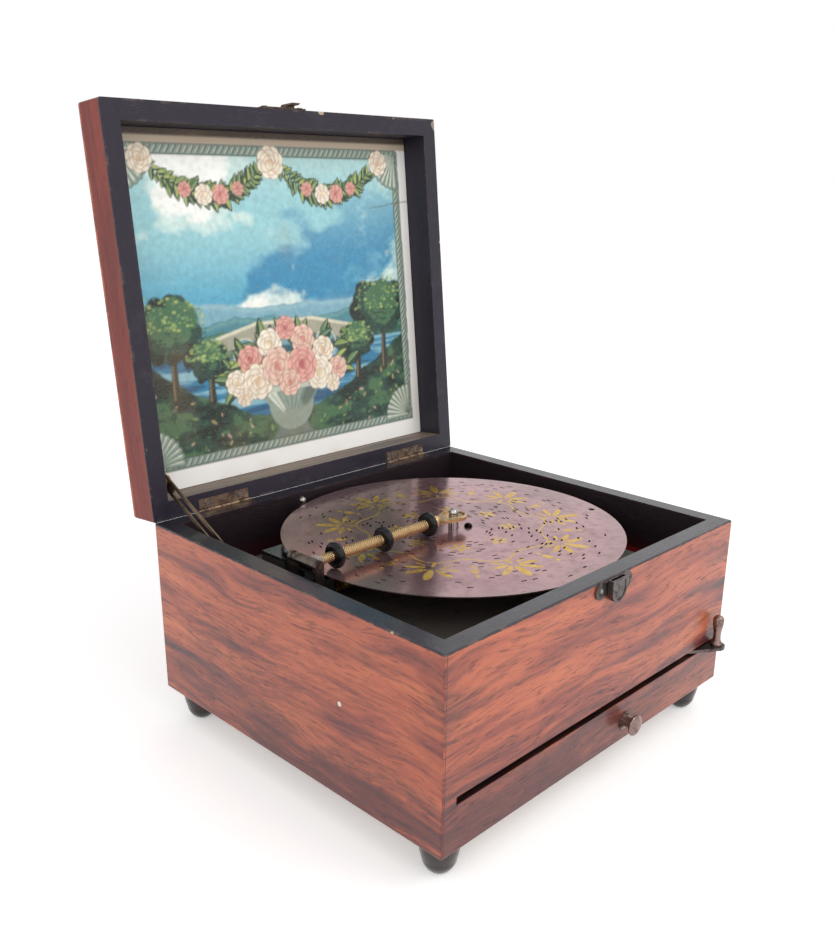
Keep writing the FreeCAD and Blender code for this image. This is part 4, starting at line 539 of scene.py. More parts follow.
def disc_steel(name):
    """Plum-tinted steel with rust specks and fine scratches, and a worn gold ornament on its upper face."""
    tints = colours()
    sizes = bpy.context.scene.music_box_disc
    f = Finish(name, {"Metallic": 0.82})
    spot = f.point()
    x, y, z = f.split(spot)
    east = f.less(x, SPINDLE.x)
    north = f.less(y, SPINDLE.y)
    radius = f.span(f.join(east, north, 0.0))
    turn = f.maths("ARCTAN2", north, east)
    cloud = f.grain(spot, 22.0, detail=5.0, rough=0.62, bend=0.4)
    mottle = f.grain(spot, 150.0, detail=6.0, rough=0.72)
    speck = f.grain(spot, 900.0, detail=3.0, rough=0.7)
    hairs = f.grain(f.placed(spot, rotation=(0, 0, 0.7)), (60.0, 1900.0, 60.0), detail=2.0)
    base = f.mix(f.step(cloud, 0.35, 0.68), tints.disc_plum, "#9e7b7f")
    base = f.over(base, f.step(mottle, 0.45, 0.72), 0.75, "#7f5c60")
    outer = f.step(radius, DISC_RADIUS * 0.80, DISC_RADIUS)
    base = f.over(base, outer, 0.45, "#aa8f8f")
    rust = f.both(f.step(speck, 0.56, 0.70), f.step(mottle, 0.42, 0.62))
    base = f.over(base, rust, 0.75, tints.disc_rust)
    base = f.over(base, f.step(hairs, 0.60, 0.74), 0.35, "#c9b9b4")

    def petals(count, circle, shapes, shift):
        """The least of the petal distances in one cell of a ring."""
        cell = f.maths("FRACT", f.scaled(turn, count / math.tau, shift))
        sideways = f.both(f.less(cell, 0.5), math.tau * circle / count)
        outwards = f.less(radius, circle)
        place = f.join(sideways, outwards, 0.0)
        least = None
        for lean, reach, half_length, half_width in shapes:
            heading = math.radians(lean)
            centre = (math.sin(heading) * reach, math.cos(heading) * reach, 0.0)
            petal = f.placed(place, location=centre, rotation=(0, 0, -heading),
                             scale=(half_width, half_length, 1.0), kind="TEXTURE")
            size = f.span(petal)
            least = size if least is None else f.maths("MINIMUM", least, size)
        return f.step(least, 1.12, 0.92)

    spray = [(-78, 0.0095, 0.0060, 0.0016), (-42, 0.0100, 0.0066, 0.0018), (0, 0.0108, 0.0075, 0.0021),
             (42, 0.0100, 0.0066, 0.0018), (78, 0.0095, 0.0060, 0.0016), (180, 0.0042, 0.0036, 0.0011),
             (-112, 0.0085, 0.0040, 0.0010), (112, 0.0085, 0.0040, 0.0010)]
    flower = [(angle, 0.0036, 0.0026, 0.0013) for angle in range(0, 360, 72)]
    leaves = petals(sizes.leaf_count, sizes.leaf_circle, spray, 0.18)
    bud = [(0, 0.0, 0.0034, 0.0022), (0, 0.0070, 0.0016, 0.0012), (180, 0.0066, 0.0016, 0.0012)]
    buds = petals(sizes.leaf_count, sizes.leaf_circle + 0.004, bud, 0.68)
    flowers = petals(sizes.flower_count, sizes.flower_circle, flower, 0.4)
    stalk_wave = f.maths("SINE", f.both(turn, sizes.leaf_count))
    stalk_line = f.scaled(stalk_wave, 0.0035, sizes.leaf_circle - 0.010)
    stalk = f.band(radius, stalk_line, 0.00075, 0.00055)
    gold = f.either(f.either(leaves, buds), f.either(flowers, stalk))
    gold_wear_and_case_shade = f.step(f.grain(spot, 60.0, detail=7.0, rough=0.72), 0.70, 0.52)
    gold = f.both(f.both(gold, gold_wear_and_case_shade), f.step(z, DISC_HIGH.z - 0.0003, DISC_HIGH.z - 0.0002))
    gold_tint = f.mix(f.step(mottle, 0.35, 0.7), tints.ornament_gold, "#e0bd62")
    base = f.mix(gold, base, gold_tint)
    rough = f.plus(f.scaled(mottle, 0.22, 0.06), f.both(rust, 0.2))
    relief = f.less(f.both(gold, 0.4), f.both(rust, 0.5))
    f.surface(base, f.plus(rough, f.both(gold, 0.12)), f.plus(relief, f.both(mottle, 0.3)), 0.12, 0.0002)
    return f


# ---------------- the painted sheet in the lid
def value_noise(across, up, size, seed, octaves=4):
    """Smooth random hills from 0 to 1 over the sheet."""
    total = np.zeros_like(across)
    weight = 0.0
    for octave in range(octaves):
        cell = size / 2 ** octave
        table = np.random.default_rng(seed + octave).random((80, 80))
        column = (across / cell) % 79
        row = (up / cell) % 79
        left = column.astype(int)
        low = row.astype(int)
        tx = column - left
        ty = row - low
        tx = tx * tx * (3 - 2 * tx)
        ty = ty * ty * (3 - 2 * ty)
        bottom = table[low, left] * (1 - tx) + table[low, left + 1] * tx
        top = table[low + 1, left] * (1 - tx) + table[low + 1, left + 1] * tx
        share = 0.55 ** octave
        total += (bottom * (1 - ty) + top * ty) * share
        weight += share
    return total / weight


def soft(value, low, high):
    share = np.clip((value - low) / (high - low), 0, 1)
    return share * share * (3 - 2 * share)


def round_mark(outer, inner, squash=1.0, share=1.0):
    """A round mark, gone past outer and full within inner."""
    return lambda dx, dy: soft(np.hypot(dx, dy * squash), outer, inner) * share


class Painting:
    """A sheet of colours; places are millimetres from its lower left corner as the lid stands open."""

    def __init__(self, width, height, cell):
        self.columns = 2 * int(round(width / cell))
        self.rows = 2 * int(round(height / cell))
        self.width = width
        self.height = height
        self.across, self.up = np.meshgrid(np.linspace(0, width, self.columns + 1),
                                           np.linspace(0, height, self.rows + 1))
        self.tint = np.zeros((*self.across.shape, 3))

    def averaged(self):
        """The colours at every second place, each averaged with its neighbours."""
        tint = np.pad(self.tint, ((1, 1), (1, 1), (0, 0)), mode="edge")
        tint = (tint[:-2] + 2 * tint[1:-1] + tint[2:]) / 4
        tint = (tint[:, :-2] + 2 * tint[:, 1:-1] + tint[:, 2:]) / 4
        return tint[::2, ::2]

    def lay(self, mask, code, part=...):
        """Lays a colour over the sheet, or over a part of it."""
        self.tint[part] += (np.array(paint(code)) - self.tint[part]) * mask[..., None]

    def window(self, x0, x1, y0, y1):
        """Cuts a part out of the sheet so that small strokes stay quick."""
        step_x = self.width / self.columns
        step_y = self.height / self.rows
        columns = slice(max(0, int(x0 / step_x)), min(self.columns + 1, int(x1 / step_x) + 2))
        rows = slice(max(0, int(y0 / step_y)), min(self.rows + 1, int(y1 / step_y) + 2))
        return rows, columns

    def dab(self, place, reach, shape, code):
        """Lays a colour where shape(dx, dy) says, within reach of a place."""
        x, y = place
        part = self.window(x - reach, x + reach, y - reach, y + reach)
        self.lay(shape(self.across[part] - x, self.up[part] - y), code, part)

    def stroke(self, points, widths, code, edge=0.6):
        """A line through points whose half width follows widths."""
        for (x0, y0), (x1, y1), w0, w1 in zip(points, points[1:], widths, widths[1:]):
            reach = max(w0, w1) + edge
            part = self.window(min(x0, x1) - reach, max(x0, x1) + reach,
                               min(y0, y1) - reach, max(y0, y1) + reach)
            dx, dy = x1 - x0, y1 - y0
            along = ((self.across[part] - x0) * dx + (self.up[part] - y0) * dy) / (dx * dx + dy * dy + 1e-9)
            along = np.clip(along, 0, 1)
            off = np.hypot(self.across[part] - x0 - along * dx, self.up[part] - y0 - along * dy)
            width = w0 + (w1 - w0) * along
            self.lay(soft(off, width + edge / 2, width - edge / 2), code, part)

    def leaf(self, place, length, heading, light):
        """A pointed leaf with a pale midrib; the half above the rib is lit."""
        east, north = math.cos(math.radians(heading)), math.sin(math.radians(heading))
        x, y = place[0] + length * 0.5 * east, place[1] + length * 0.5 * north

        def off(dx, dy):
            return dy * east - dx * north

        def outline(grow):
            def shape(dx, dy):
                along = (dx * east + dy * north) / (length * 0.5 * grow)
                width = length * 0.23 * grow * np.clip(1 - along * along, 0, 1) ** 0.8 * (1 - 0.25 * along)
                return soft(np.abs(off(dx, dy)), width + 0.2, width - 0.2) * (np.abs(along) < 1)
            return shape

        def lit(dx, dy):
            return outline(0.9)(dx, dy) * soft(off(dx, dy) * (1 if east > 0 else -1), -0.1, 0.3)

        def rib(dx, dy):
            return outline(0.9)(dx, dy) * soft(np.abs(off(dx, dy)), 0.32, 0.08)

        for shape, tint in ((outline(1.12), "#16261d"), (outline(0.98), "#2b4a33"), (lit, light),
                            (rib, "#c9d09a")):
            self.dab((x, y), length * 0.62, shape, tint)

    def rose(self, place, size, pale, deep):
        """A full bloom: three rings of rounded petals, each darker at its root."""
        x, y = place
        self.dab(place, size * 1.3, round_mark(size * 1.02, size * 0.92), "#7d4f45")
        for ring, (count, circle, petal) in enumerate(((8, 0.60, 0.42), (6, 0.36, 0.38), (4, 0.15, 0.30))):
            for number in range(count):
                angle = math.tau * (number + 0.5 * ring) / count + size
                px, py = x + size * circle * math.cos(angle), y + size * circle * math.sin(angle)
                reach = size * petal
                shape = round_mark(reach + 0.2, reach - 0.2)

                def shade(dx, dy):
                    root = (dx * math.cos(angle) + dy * math.sin(angle)) / reach
                    return shape(dx, dy) * np.clip(0.62 - 0.72 * root, 0, 0.9)

                def edge(dx, dy):
                    return soft(np.abs(np.hypot(dx, dy) - reach), 0.40, 0.10) * 0.55

                self.dab((px, py), reach * 1.2, shape, pale)
                self.dab((px, py), reach * 1.2, shade, deep)
                self.dab((px, py), reach * 1.3, edge, "#a4685c" if ring else "#8d5d50")
        self.dab((x - size * 0.1, y + size * 0.1), size * 0.3, round_mark(size * 0.16, size * 0.05), deep)

    def dapple(self, wanted, count, seed, sizes, tints):
        """Many small slanting brush marks at the places where wanted(x, y) holds."""
        chance = np.random.default_rng(seed)
        for _ in range(count):
            x, y = chance.uniform(0, self.width), chance.uniform(0, self.height)
            size = chance.uniform(*sizes)
            lean = chance.uniform(0, math.pi)
            tint = tints[int(chance.integers(len(tints)))]
            if not wanted(x, y):
                continue

            def shape(dx, dy):
                a = dx * math.cos(lean) + dy * math.sin(lean)
                b = dy * math.cos(lean) - dx * math.sin(lean)
                return soft(np.hypot(a, b * 2.2), size, size * 0.45) * 0.8

            self.dab((x, y), size * 1.1, shape, tint)

    def tree(self, place, crown, height, seed):
        """A broad round-headed tree: trunk, dark crown of heaped discs and lit dabs on its upper side."""
        x, y = place
        chance = np.random.default_rng(seed)
        self.stroke([(x, y), (x + 1, y + height * 0.5), (x, y + height)], [3.0, 2.0, 1.4], "#2b2a20")
        self.stroke([(x - 1, y), (x, y + height * 0.6)], [0.8, 0.5], "#7c6f52")
        for tint, share, shift in (("#0f211b", 1.0, -2.0), ("#25463a", 0.86, 0.5), ("#46704f", 0.62, 3.0)):
            for _ in range(30):
                angle, reach = chance.uniform(0, math.tau), crown * share * chance.uniform(0, 0.8) ** 0.6
                spot = (x + reach * math.cos(angle) + shift * 0.5,
                        y + height + reach * 0.78 * math.sin(angle) + shift)
                size = crown * chance.uniform(0.16, 0.30)
                self.dab(spot, size * 1.1, round_mark(size, size * 0.75), tint)
        for _ in range(170):
            angle, reach = chance.uniform(0, math.tau), crown * chance.uniform(0, 1) ** 0.6
            high = math.sin(angle) * reach / crown
            tint = ("#8aa65c", "#b4c276", "#6a9162")[int(chance.integers(3))] if high > -0.1 else "#1a362c"
            spot = (x + reach * math.cos(angle), y + height + reach * 0.8 * math.sin(angle))
            size = chance.uniform(0.8, 2.2)
            self.dab(spot, size * 1.2, round_mark(size, size * 0.4, 1.7, 0.85), tint)

    def garland(self, ends, sag, seed):
        """Leaves and small roses along a hanging curve."""
        (x0, y0), (x1, y1) = ends
        chance = np.random.default_rng(seed)
        steps = 26

        def hung(share):
            return x0 + (x1 - x0) * share, y0 + (y1 - y0) * share - sag * 4 * share * (1 - share)

        for step in range(steps + 1):
            share = step / steps
            slope = math.degrees(math.atan2((y1 - y0) - sag * 4 * (1 - 2 * share), x1 - x0))
            fat = 5.2 + 5.0 * math.sin(math.pi * share)
            for side in (-1, 1, -1, 1):
                light = LEAF_LIGHTS[int(chance.integers(3))]
                self.leaf(hung(share), fat * chance.uniform(0.8, 1.2),
                          slope + side * chance.uniform(25, 75), light)
        for share, size in ((0.30, 4.6), (0.44, 6.4), (0.57, 6.0), (0.71, 4.4)):
            self.rose(hung(share), size, *(IVORY, PINK)[int(share * 10) % 2])


def paint_landscape(sheet, margins):
    """A lake with a bridge, round-headed trees, a bowl of roses, rose garlands and a ribbon border."""
    side, foot, head = margins
    w, h = sheet.width, sheet.height
    u, v = sheet.across, sheet.up
    share = v / h
    middle_x = (w - side) / 2
    sheet.lay(np.ones_like(u), "#57abc8")
    sheet.lay(soft(share, 0.50, 0.74), "#9bd0d6")
    sheet.lay(soft(share, 0.76, 0.98) * 0.8, "#bfe0db")
    blues = value_noise(u, v * 1.5, 62, 23, 5)
    sheet.lay(soft(blues, 0.50, 0.62) * soft(share, 0.40, 0.50) * soft(share, 0.95, 0.62) * 0.85, "#2f86b2")
    cloud = value_noise(u * 0.7, v, 44, 17, 6)
    sheet.lay(soft(cloud, 0.455, 0.54) * soft(share, 0.40, 0.5) * 0.9, "#d3ebe4")
    lit = soft(cloud, 0.48, 0.56) * soft(value_noise(u * 0.7 + 3, v - 3, 44, 17, 6), 0.52, 0.60)
    sheet.lay(lit * soft(share, 0.40, 0.5), "#fbfdf6")
    sheet.lay(soft(share, 0.52, 0.42) * 0.85, "#f4e6c6")
    for base, size, seed, tint, lit in ((0.500, 46, 12, "#7fb0c0", "#a9ccd0"),
                                        (0.455, 34, 3, "#4d8a96", "#7fb0a8"),
                                        (0.412, 20, 8, "#35685a", "#6d9c78")):
        ridge = h * base + 15 * (value_noise(u, u * 0 + seed, size, seed, 5) - 0.4)
        sheet.lay(soft(v, ridge + 0.5, ridge - 0.5), tint)
        sheet.lay(soft(v, ridge + 0.2, ridge - 2.2) * soft(v, ridge - 5, ridge - 1) * 0.6, lit)
    lake = soft(v, h * 0.368, h * 0.362)
    ripple = value_noise(u * 0.25, v * 2.2, 9, 31, 4)
    sheet.lay(lake, "#2f7fa6")
    sheet.lay(lake * soft(ripple, 0.50, 0.66) * 0.8, "#9fd0d8")
    sheet.lay(lake * soft(ripple, 0.42, 0.30) * 0.8, "#1b5274")
    sheet.lay(lake * soft(share, 0.24, 0.10) * 0.6, "#123f5c")
    # a stone bridge of three arches and its image in the water
    deck = [(middle_x - 62, h * 0.385), (middle_x - 24, h * 0.425), (middle_x + 24, h * 0.425),
            (middle_x + 62, h * 0.385)]
    for drop, tint, depth in ((-4.0, "#58706c", 7.0), (0.0, "#a9a793", 5.0)):
        sheet.stroke([(px, py + drop) for px, py in deck], [depth] * 4, tint)
    sheet.stroke([(px, py + 5.0) for px, py in deck], [1.1] * 4, "#dcd8bf")
    for px, reach in ((middle_x - 34, 9), (middle_x, 12), (middle_x + 34, 9)):
        arch = round_mark(reach, reach - 0.5)
        for shape, tint in ((round_mark(reach + 0.9, reach + 0.3), "#e0dcc4"), (arch, "#2b5a66"),
                            (lambda dx, dy: arch(dx, dy) * soft(dy, 1.0, 3.0) * 0.7, "#8cc0c6")):
            sheet.dab((px, h * 0.365), reach * 1.2, shape, tint)
    # meadows at both sides and the near bank
    dip = 34 * np.abs((u - middle_x) / middle_x) ** 1.5
    bank_line = h * 0.150 + dip * 1.5 + 9 * (value_noise(u, u * 0 + 7, 26, 51, 5) - 0.5)
    bank = soft(v, bank_line + 1.0, bank_line - 1.0)
    grass = value_noise(u * 0.8, v * 1.6, 12, 41, 5)
    sheet.lay(bank, "#24463a")
    sheet.lay(bank * soft(grass, 0.50, 0.62) * 0.9, "#4c7550")
    sheet.lay(bank * soft(grass, 0.46, 0.34) * 0.9, "#0f211b")
    sheet.dapple(lambda x, y: y < h * 0.13 + 44 * abs((x - middle_x) / middle_x) ** 1.5, 1300, 61, (1.2, 3.2),
                 ("#10221a", "#2c5039", "#45684a", "#5f8353", "#86a05c", "#1f3f46", "#b8a46a", "#d9b6a0"))
    for place, crown, height, seed in (((26, h * 0.26), 27, 44, 3), ((w - side - 26, h * 0.26), 27, 44, 4),
                                       ((52, h * 0.24), 17, 26, 5), ((w - side - 52, h * 0.24), 17, 26, 6)):
        sheet.tree(place, crown, height, seed)
    # a footed bowl of roses
    bowl_v = foot + 38
    sheet.stroke([(middle_x, foot + 8), (middle_x, foot + 11), (middle_x, foot + 16), (middle_x, foot + 24)],
                 [17, 13, 4, 4.5], "#6f7f78")
    sheet.stroke([(middle_x, bowl_v - 16), (middle_x, bowl_v - 8), (middle_x, bowl_v)], [5, 19, 26],
                 "#93a497")
    sheet.stroke([(middle_x + 12, bowl_v - 8), (middle_x + 18, bowl_v - 1)], [4, 5], "#61736b", edge=4.0)
    sheet.stroke([(middle_x - 8, bowl_v - 12), (middle_x - 16, bowl_v - 1)], [2, 3.6], "#dde3d2",
                 edge=3.0)
    sheet.stroke([(middle_x - 27, bowl_v + 2), (middle_x + 27, bowl_v + 2)], [1.7] * 2, "#c3cdbd")
    for rib in range(-4, 5):
        sheet.stroke([(middle_x + rib * 2.2, bowl_v - 14), (middle_x + rib * 5.6, bowl_v)], [0.25] * 2,
                     "#5c6d66")
    spray = np.random.default_rng(7)
    for number in range(90):
        turn = spray.uniform(-0.15, math.pi + 0.15)
        reach = spray.uniform(16, 50)
        place = (middle_x + reach * 1.05 * math.cos(turn), bowl_v + 10 + reach * 0.62 * math.sin(turn))
        sheet.leaf(place, spray.uniform(9, 15), math.degrees(turn) + spray.uniform(-40, 40),
                   LEAF_LIGHTS[number % 4])
    blooms = [(-43, 10, 8.5), (43, 10, 8.5), (-31, 24, 9.5), (31, 24, 9.5), (-14, 33, 10), (14, 33, 10),
              (0, 42, 8), (-26, 9, 12), (26, 9, 12), (-9, 17, 13), (12, 16, 12.5), (-38, 0, 6), (38, 0, 6),
              (0, 5, 9)]
    for index, (dx, dy, size) in enumerate(blooms):
        sheet.rose((middle_x + dx, bowl_v + dy), size, *(IVORY, BLUSH, PINK, CREAM)[index % 4])
    # border of a twisted ribbon with fans in the corners, and garlands from the upper edge
    right, top = w - side, h - head
    border = [(3.4, foot + 3.6), (3.4, top - 3.4), (right - 3.4, top - 3.4), (right - 3.4, foot + 3.6),
              (3.4, foot + 3.6)]
    sheet.stroke(border, [3.4] * 5, "#3f524a")
    sheet.stroke(border, [2.7] * 5, "#8fa195")
    for (x0, y0), (x1, y1) in zip(border, border[1:]):
        marks = int(math.hypot(x1 - x0, y1 - y0) / 4.2)
        for mark in range(marks):
            x = x0 + (x1 - x0) * (mark + 0.5) / marks
            y = y0 + (y1 - y0) * (mark + 0.5) / marks
            sheet.stroke([(x - 1.3, y - 1.9), (x + 1.3, y + 1.9)], [0.55] * 2, "#56685f")
            sheet.stroke([(x - 2.1, y - 1.5), (x + 0.3, y + 1.9)], [0.35] * 2, "#d5dccb")
    for fan_x, fan_v, turn in ((4, foot + 4, 45), (right - 4, foot + 4, 135), (4, top - 4, -45),
                               (right - 4, top - 4, -135)):
        for blade in range(-4, 5):
            angle = math.radians(turn + blade * 11)
            tip = (fan_x + 21 * math.cos(angle), fan_v + 21 * math.sin(angle))
            sheet.stroke([(fan_x, fan_v), tip], [0.8, 2.6], "#3f524a")
            sheet.stroke([(fan_x, fan_v), tip], [0.5, 2.1], "#93a597")
            sheet.stroke([(fan_x - 0.3, fan_v + 0.4), (tip[0] - 0.4, tip[1] + 0.6)], [0.2, 0.8],
                         "#dbe1cf")
    sheet.garland([(20, top - 8), (middle_x, top - 8)], 22, 21)
    sheet.garland([(middle_x, top - 8), (right - 20, top - 8)], 22, 22)
    for place, size in (((20, top - 9), 8.5), ((middle_x, top - 10), 10.5), ((right - 20, top - 9), 8.5)):
        sheet.rose(place, size, *CREAM)
    brush = value_noise(u + v * 0.4, v - u * 0.4, 2.6, 71, 3)
    sheet.tint *= (0.84 + 0.32 * brush)[..., None]
    # bare paper at the right and at the foot, and painted shade on the band at the head: paper painted beige,
    # with a darker painted shadow along its top
    ragged = side + 1.4 * (value_noise(v, u * 0 + 2, 15, 81, 4) - 0.5)
    sheet.lay((u > w - ragged).astype(float), "#fffdf8")
    sheet.lay(soft(v, foot + 0.4, foot - 0.4), "#fffefa")
    sheet.lay(soft(v, foot + 0.5, foot - 0.5) * soft(u, 22, 4) * 0.5, "#e8c9a8")
    # painted shade: the head band's paper is beige and its upper part darker, standing in for the lid's
    # shadow
    sheet.lay(soft(v, h - head - 0.5, h - head + 0.5), "#c9b7a1")
    sheet.lay(soft(v, h - head * 0.58, h - head * 0.42), "#4f4239")
    stain = value_noise(u, v, 60, 91, 4)
    sheet.lay(soft(stain, 0.55, 0.8) * 0.16, "#b89a72")
    # a crack in the old paper
    crack = h * 0.80 + 3 * (value_noise(u, u * 0 + 5, 20, 95, 4) - 0.5) - (w - u) * 0.10
    sheet.lay(soft(np.abs(v - crack), 0.55, 0.2) * soft(u, w * 0.80, w * 0.88) * 0.7, "#5d5648")


def print_paper(name):
    """Old printed paper with fibres and foxing over the painted colours."""
    f = Finish(name, {"Specular IOR Level": 0.4, "Coat Weight": 0.12, "Coat Roughness": 0.35})
    tint = f.node("ShaderNodeAttribute", {}, out="Color", attribute_name="paint")
    spot = f.point()
    fibre = f.grain(spot, 1500.0, detail=3.0)
    foxing = f.step(f.grain(spot, 70.0, detail=5.0, rough=0.7), 0.60, 0.78)
    base = f.over(tint, foxing, 0.18, "#8d6a42")
    base = f.over(base, f.step(fibre, 0.45, 0.75), 0.10, "#fff8e8")
    f.surface(base, f.scaled(fibre, 0.25, 0.38), fibre, 0.15, 0.0002)
    return f


# ---------------- operators, one for each piece or group
class MUSICBOX_OT_case(bpy.types.Operator):
    """Finishes the four boards, the floor and the feet"""
    bl_idname = "musicbox.finish_case"
    bl_label = "Finish the case"

    def execute(self, context):
        give(veneer("case veneer lengthways X", "X"), "front_board", "back_board")
        give(veneer("case veneer lengthways Y", "Y"), "left_board", "right_board")
        give(raw_wood("case floor wood", "X"), "floor_board")
        give(raw_wood("support block wood", "Z"), "bed_supports")
        give(ebony("foot polish", colours().foot_brown, 400.0, 0.5), "feet")
        return {"FINISHED"}


class MUSICBOX_OT_lid(bpy.types.Operator):
    """Finishes the lid's rails and panel"""
    bl_idname = "musicbox.finish_lid"
    bl_label = "Finish the lid"

    def execute(self, context):
        give(veneer("lid veneer lengthways X", "X", lid=True, plain=True), "lid_front_rail", "lid_hinge_rail")
        give(veneer("lid veneer lengthways Y", "Y", lid=True, plain=True), "lid_side_rails")
        give(veneer("lid top veneer", "TOP", lid=True), "lid_top_panel")
        return {"FINISHED"}


class MUSICBOX_OT_picture(bpy.types.Operator):
    """Paints the sheet in the lid with a lake, trees, garlands and a bowl of roses"""
    bl_idname = "musicbox.paint_picture"
    bl_label = "Paint the lid's picture"

    def execute(self, context):
        sizes = context.scene.music_box_picture
        back = Matrix.Rotation(math.radians(LID_TURN), 4, "X")
        pin = Matrix.Translation((0.0, PIN.y, PIN.z))
        opened = pin @ back.inverted() @ pin.inverted()
        corners = [pin @ back @ pin.inverted() @ vertex.co for vertex in NODES["lid_print"].data.vertices]
        low = Vector([min(corner[axis] for corner in corners) for axis in range(3)])
        high = Vector([max(corner[axis] for corner in corners) for axis in range(3)])
        width, height = high.x - low.x, high.y - low.y
        sheet = Painting(width * 1000, height * 1000, sizes.cell * 1000)
        margins = (sizes.side_margin, sizes.foot_margin, sizes.head_band)
        paint_landscape(sheet, [size * 1000 for size in margins])
        shape = bmesh.new()
        tints = sheet.averaged()
        rows, columns = tints.shape[0] - 1, tints.shape[1] - 1
        bmesh.ops.create_grid(shape, x_segments=columns, y_segments=rows, size=0.5)
        layer = shape.verts.layers.float_color.new("paint")
        lift = value_noise(sheet.across, sheet.up, 45, 3, 3)
        for vertex in shape.verts:
            column = round((vertex.co.x + 0.5) * columns)
            row = round((vertex.co.y + 0.5) * rows)
            vertex[layer] = (*tints[row, column], 1.0)
            vertex.co.z = sizes.wave * float(lift[2 * row, 2 * column])
        rim = bmesh.ops.extrude_edge_only(shape, edges=[edge for edge in shape.edges if edge.is_boundary])
        for vertex in rim["geom"]:
            if isinstance(vertex, bmesh.types.BMVert):
                vertex.co.z = -(high.z - low.z)
        # the sheet faces down in the shut lid, and its foot lies at the hinges
        place = Matrix.Translation(((low.x + high.x) / 2, (low.y + high.y) / 2, low.z))
        flip = Matrix.Rotation(math.pi, 4, "X") @ Matrix.Diagonal((width, height, 1.0, 1.0))
        shape.transform(opened @ place @ flip)
        piece = made("lid_picture", shape, "lid", print_paper("picture paper"))
        smooth_edges(piece)
        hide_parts("lid_print")
        return {"FINISHED"}


class MUSICBOX_OT_fittings(bpy.types.Operator):
    """Finishes the hinges, the stay, the latch, the catch and the screws"""
    bl_idname = "musicbox.finish_fittings"
    bl_label = "Finish the fittings"

    def execute(self, context):
        tints = colours()
        give(old_hinge_brass("hinge brass"), "case_hinge_leaves", "lid_hinge_leaves")
        give_metals(
            ("stay brass", tints.old_brass, "#54483a", 90.0, (0.28, 0.25),
             "stay_bar stay_pivot_screw stay_stud"),
            ("latch iron", tints.iron, "#403a39", 260.0, (0.30, 0.25), "latch_plate latch_slide"),
            ("catch iron", "#5b4a40", "#2c2320", 240.0, (0.34, 0.25), "lid_catch"),
            ("wood screw steel", "#8d8782", "#4c4038", 300.0, (0.26, 0.28),
             "case_wood_screws lid_wood_screws hinge_pins"))
        return {"FINISHED"}


class MUSICBOX_OT_disc(bpy.types.Operator):
    """Finishes the tune disc with its gold ornament, and the spindle"""
    bl_idname = "musicbox.finish_disc"
    bl_label = "Finish the disc"

    def execute(self, context):
        give(disc_steel("tune disc steel"), "disc")
        give_metals(
            ("spindle steel", colours().steel, "#77716c", 200.0, (0.12, 0.20), "centre_post"),
            ("guide post steel", "#a89f98", "#5b4a42", 220.0, (0.16, 0.24), "guide_post"))
        return {"FINISHED"}


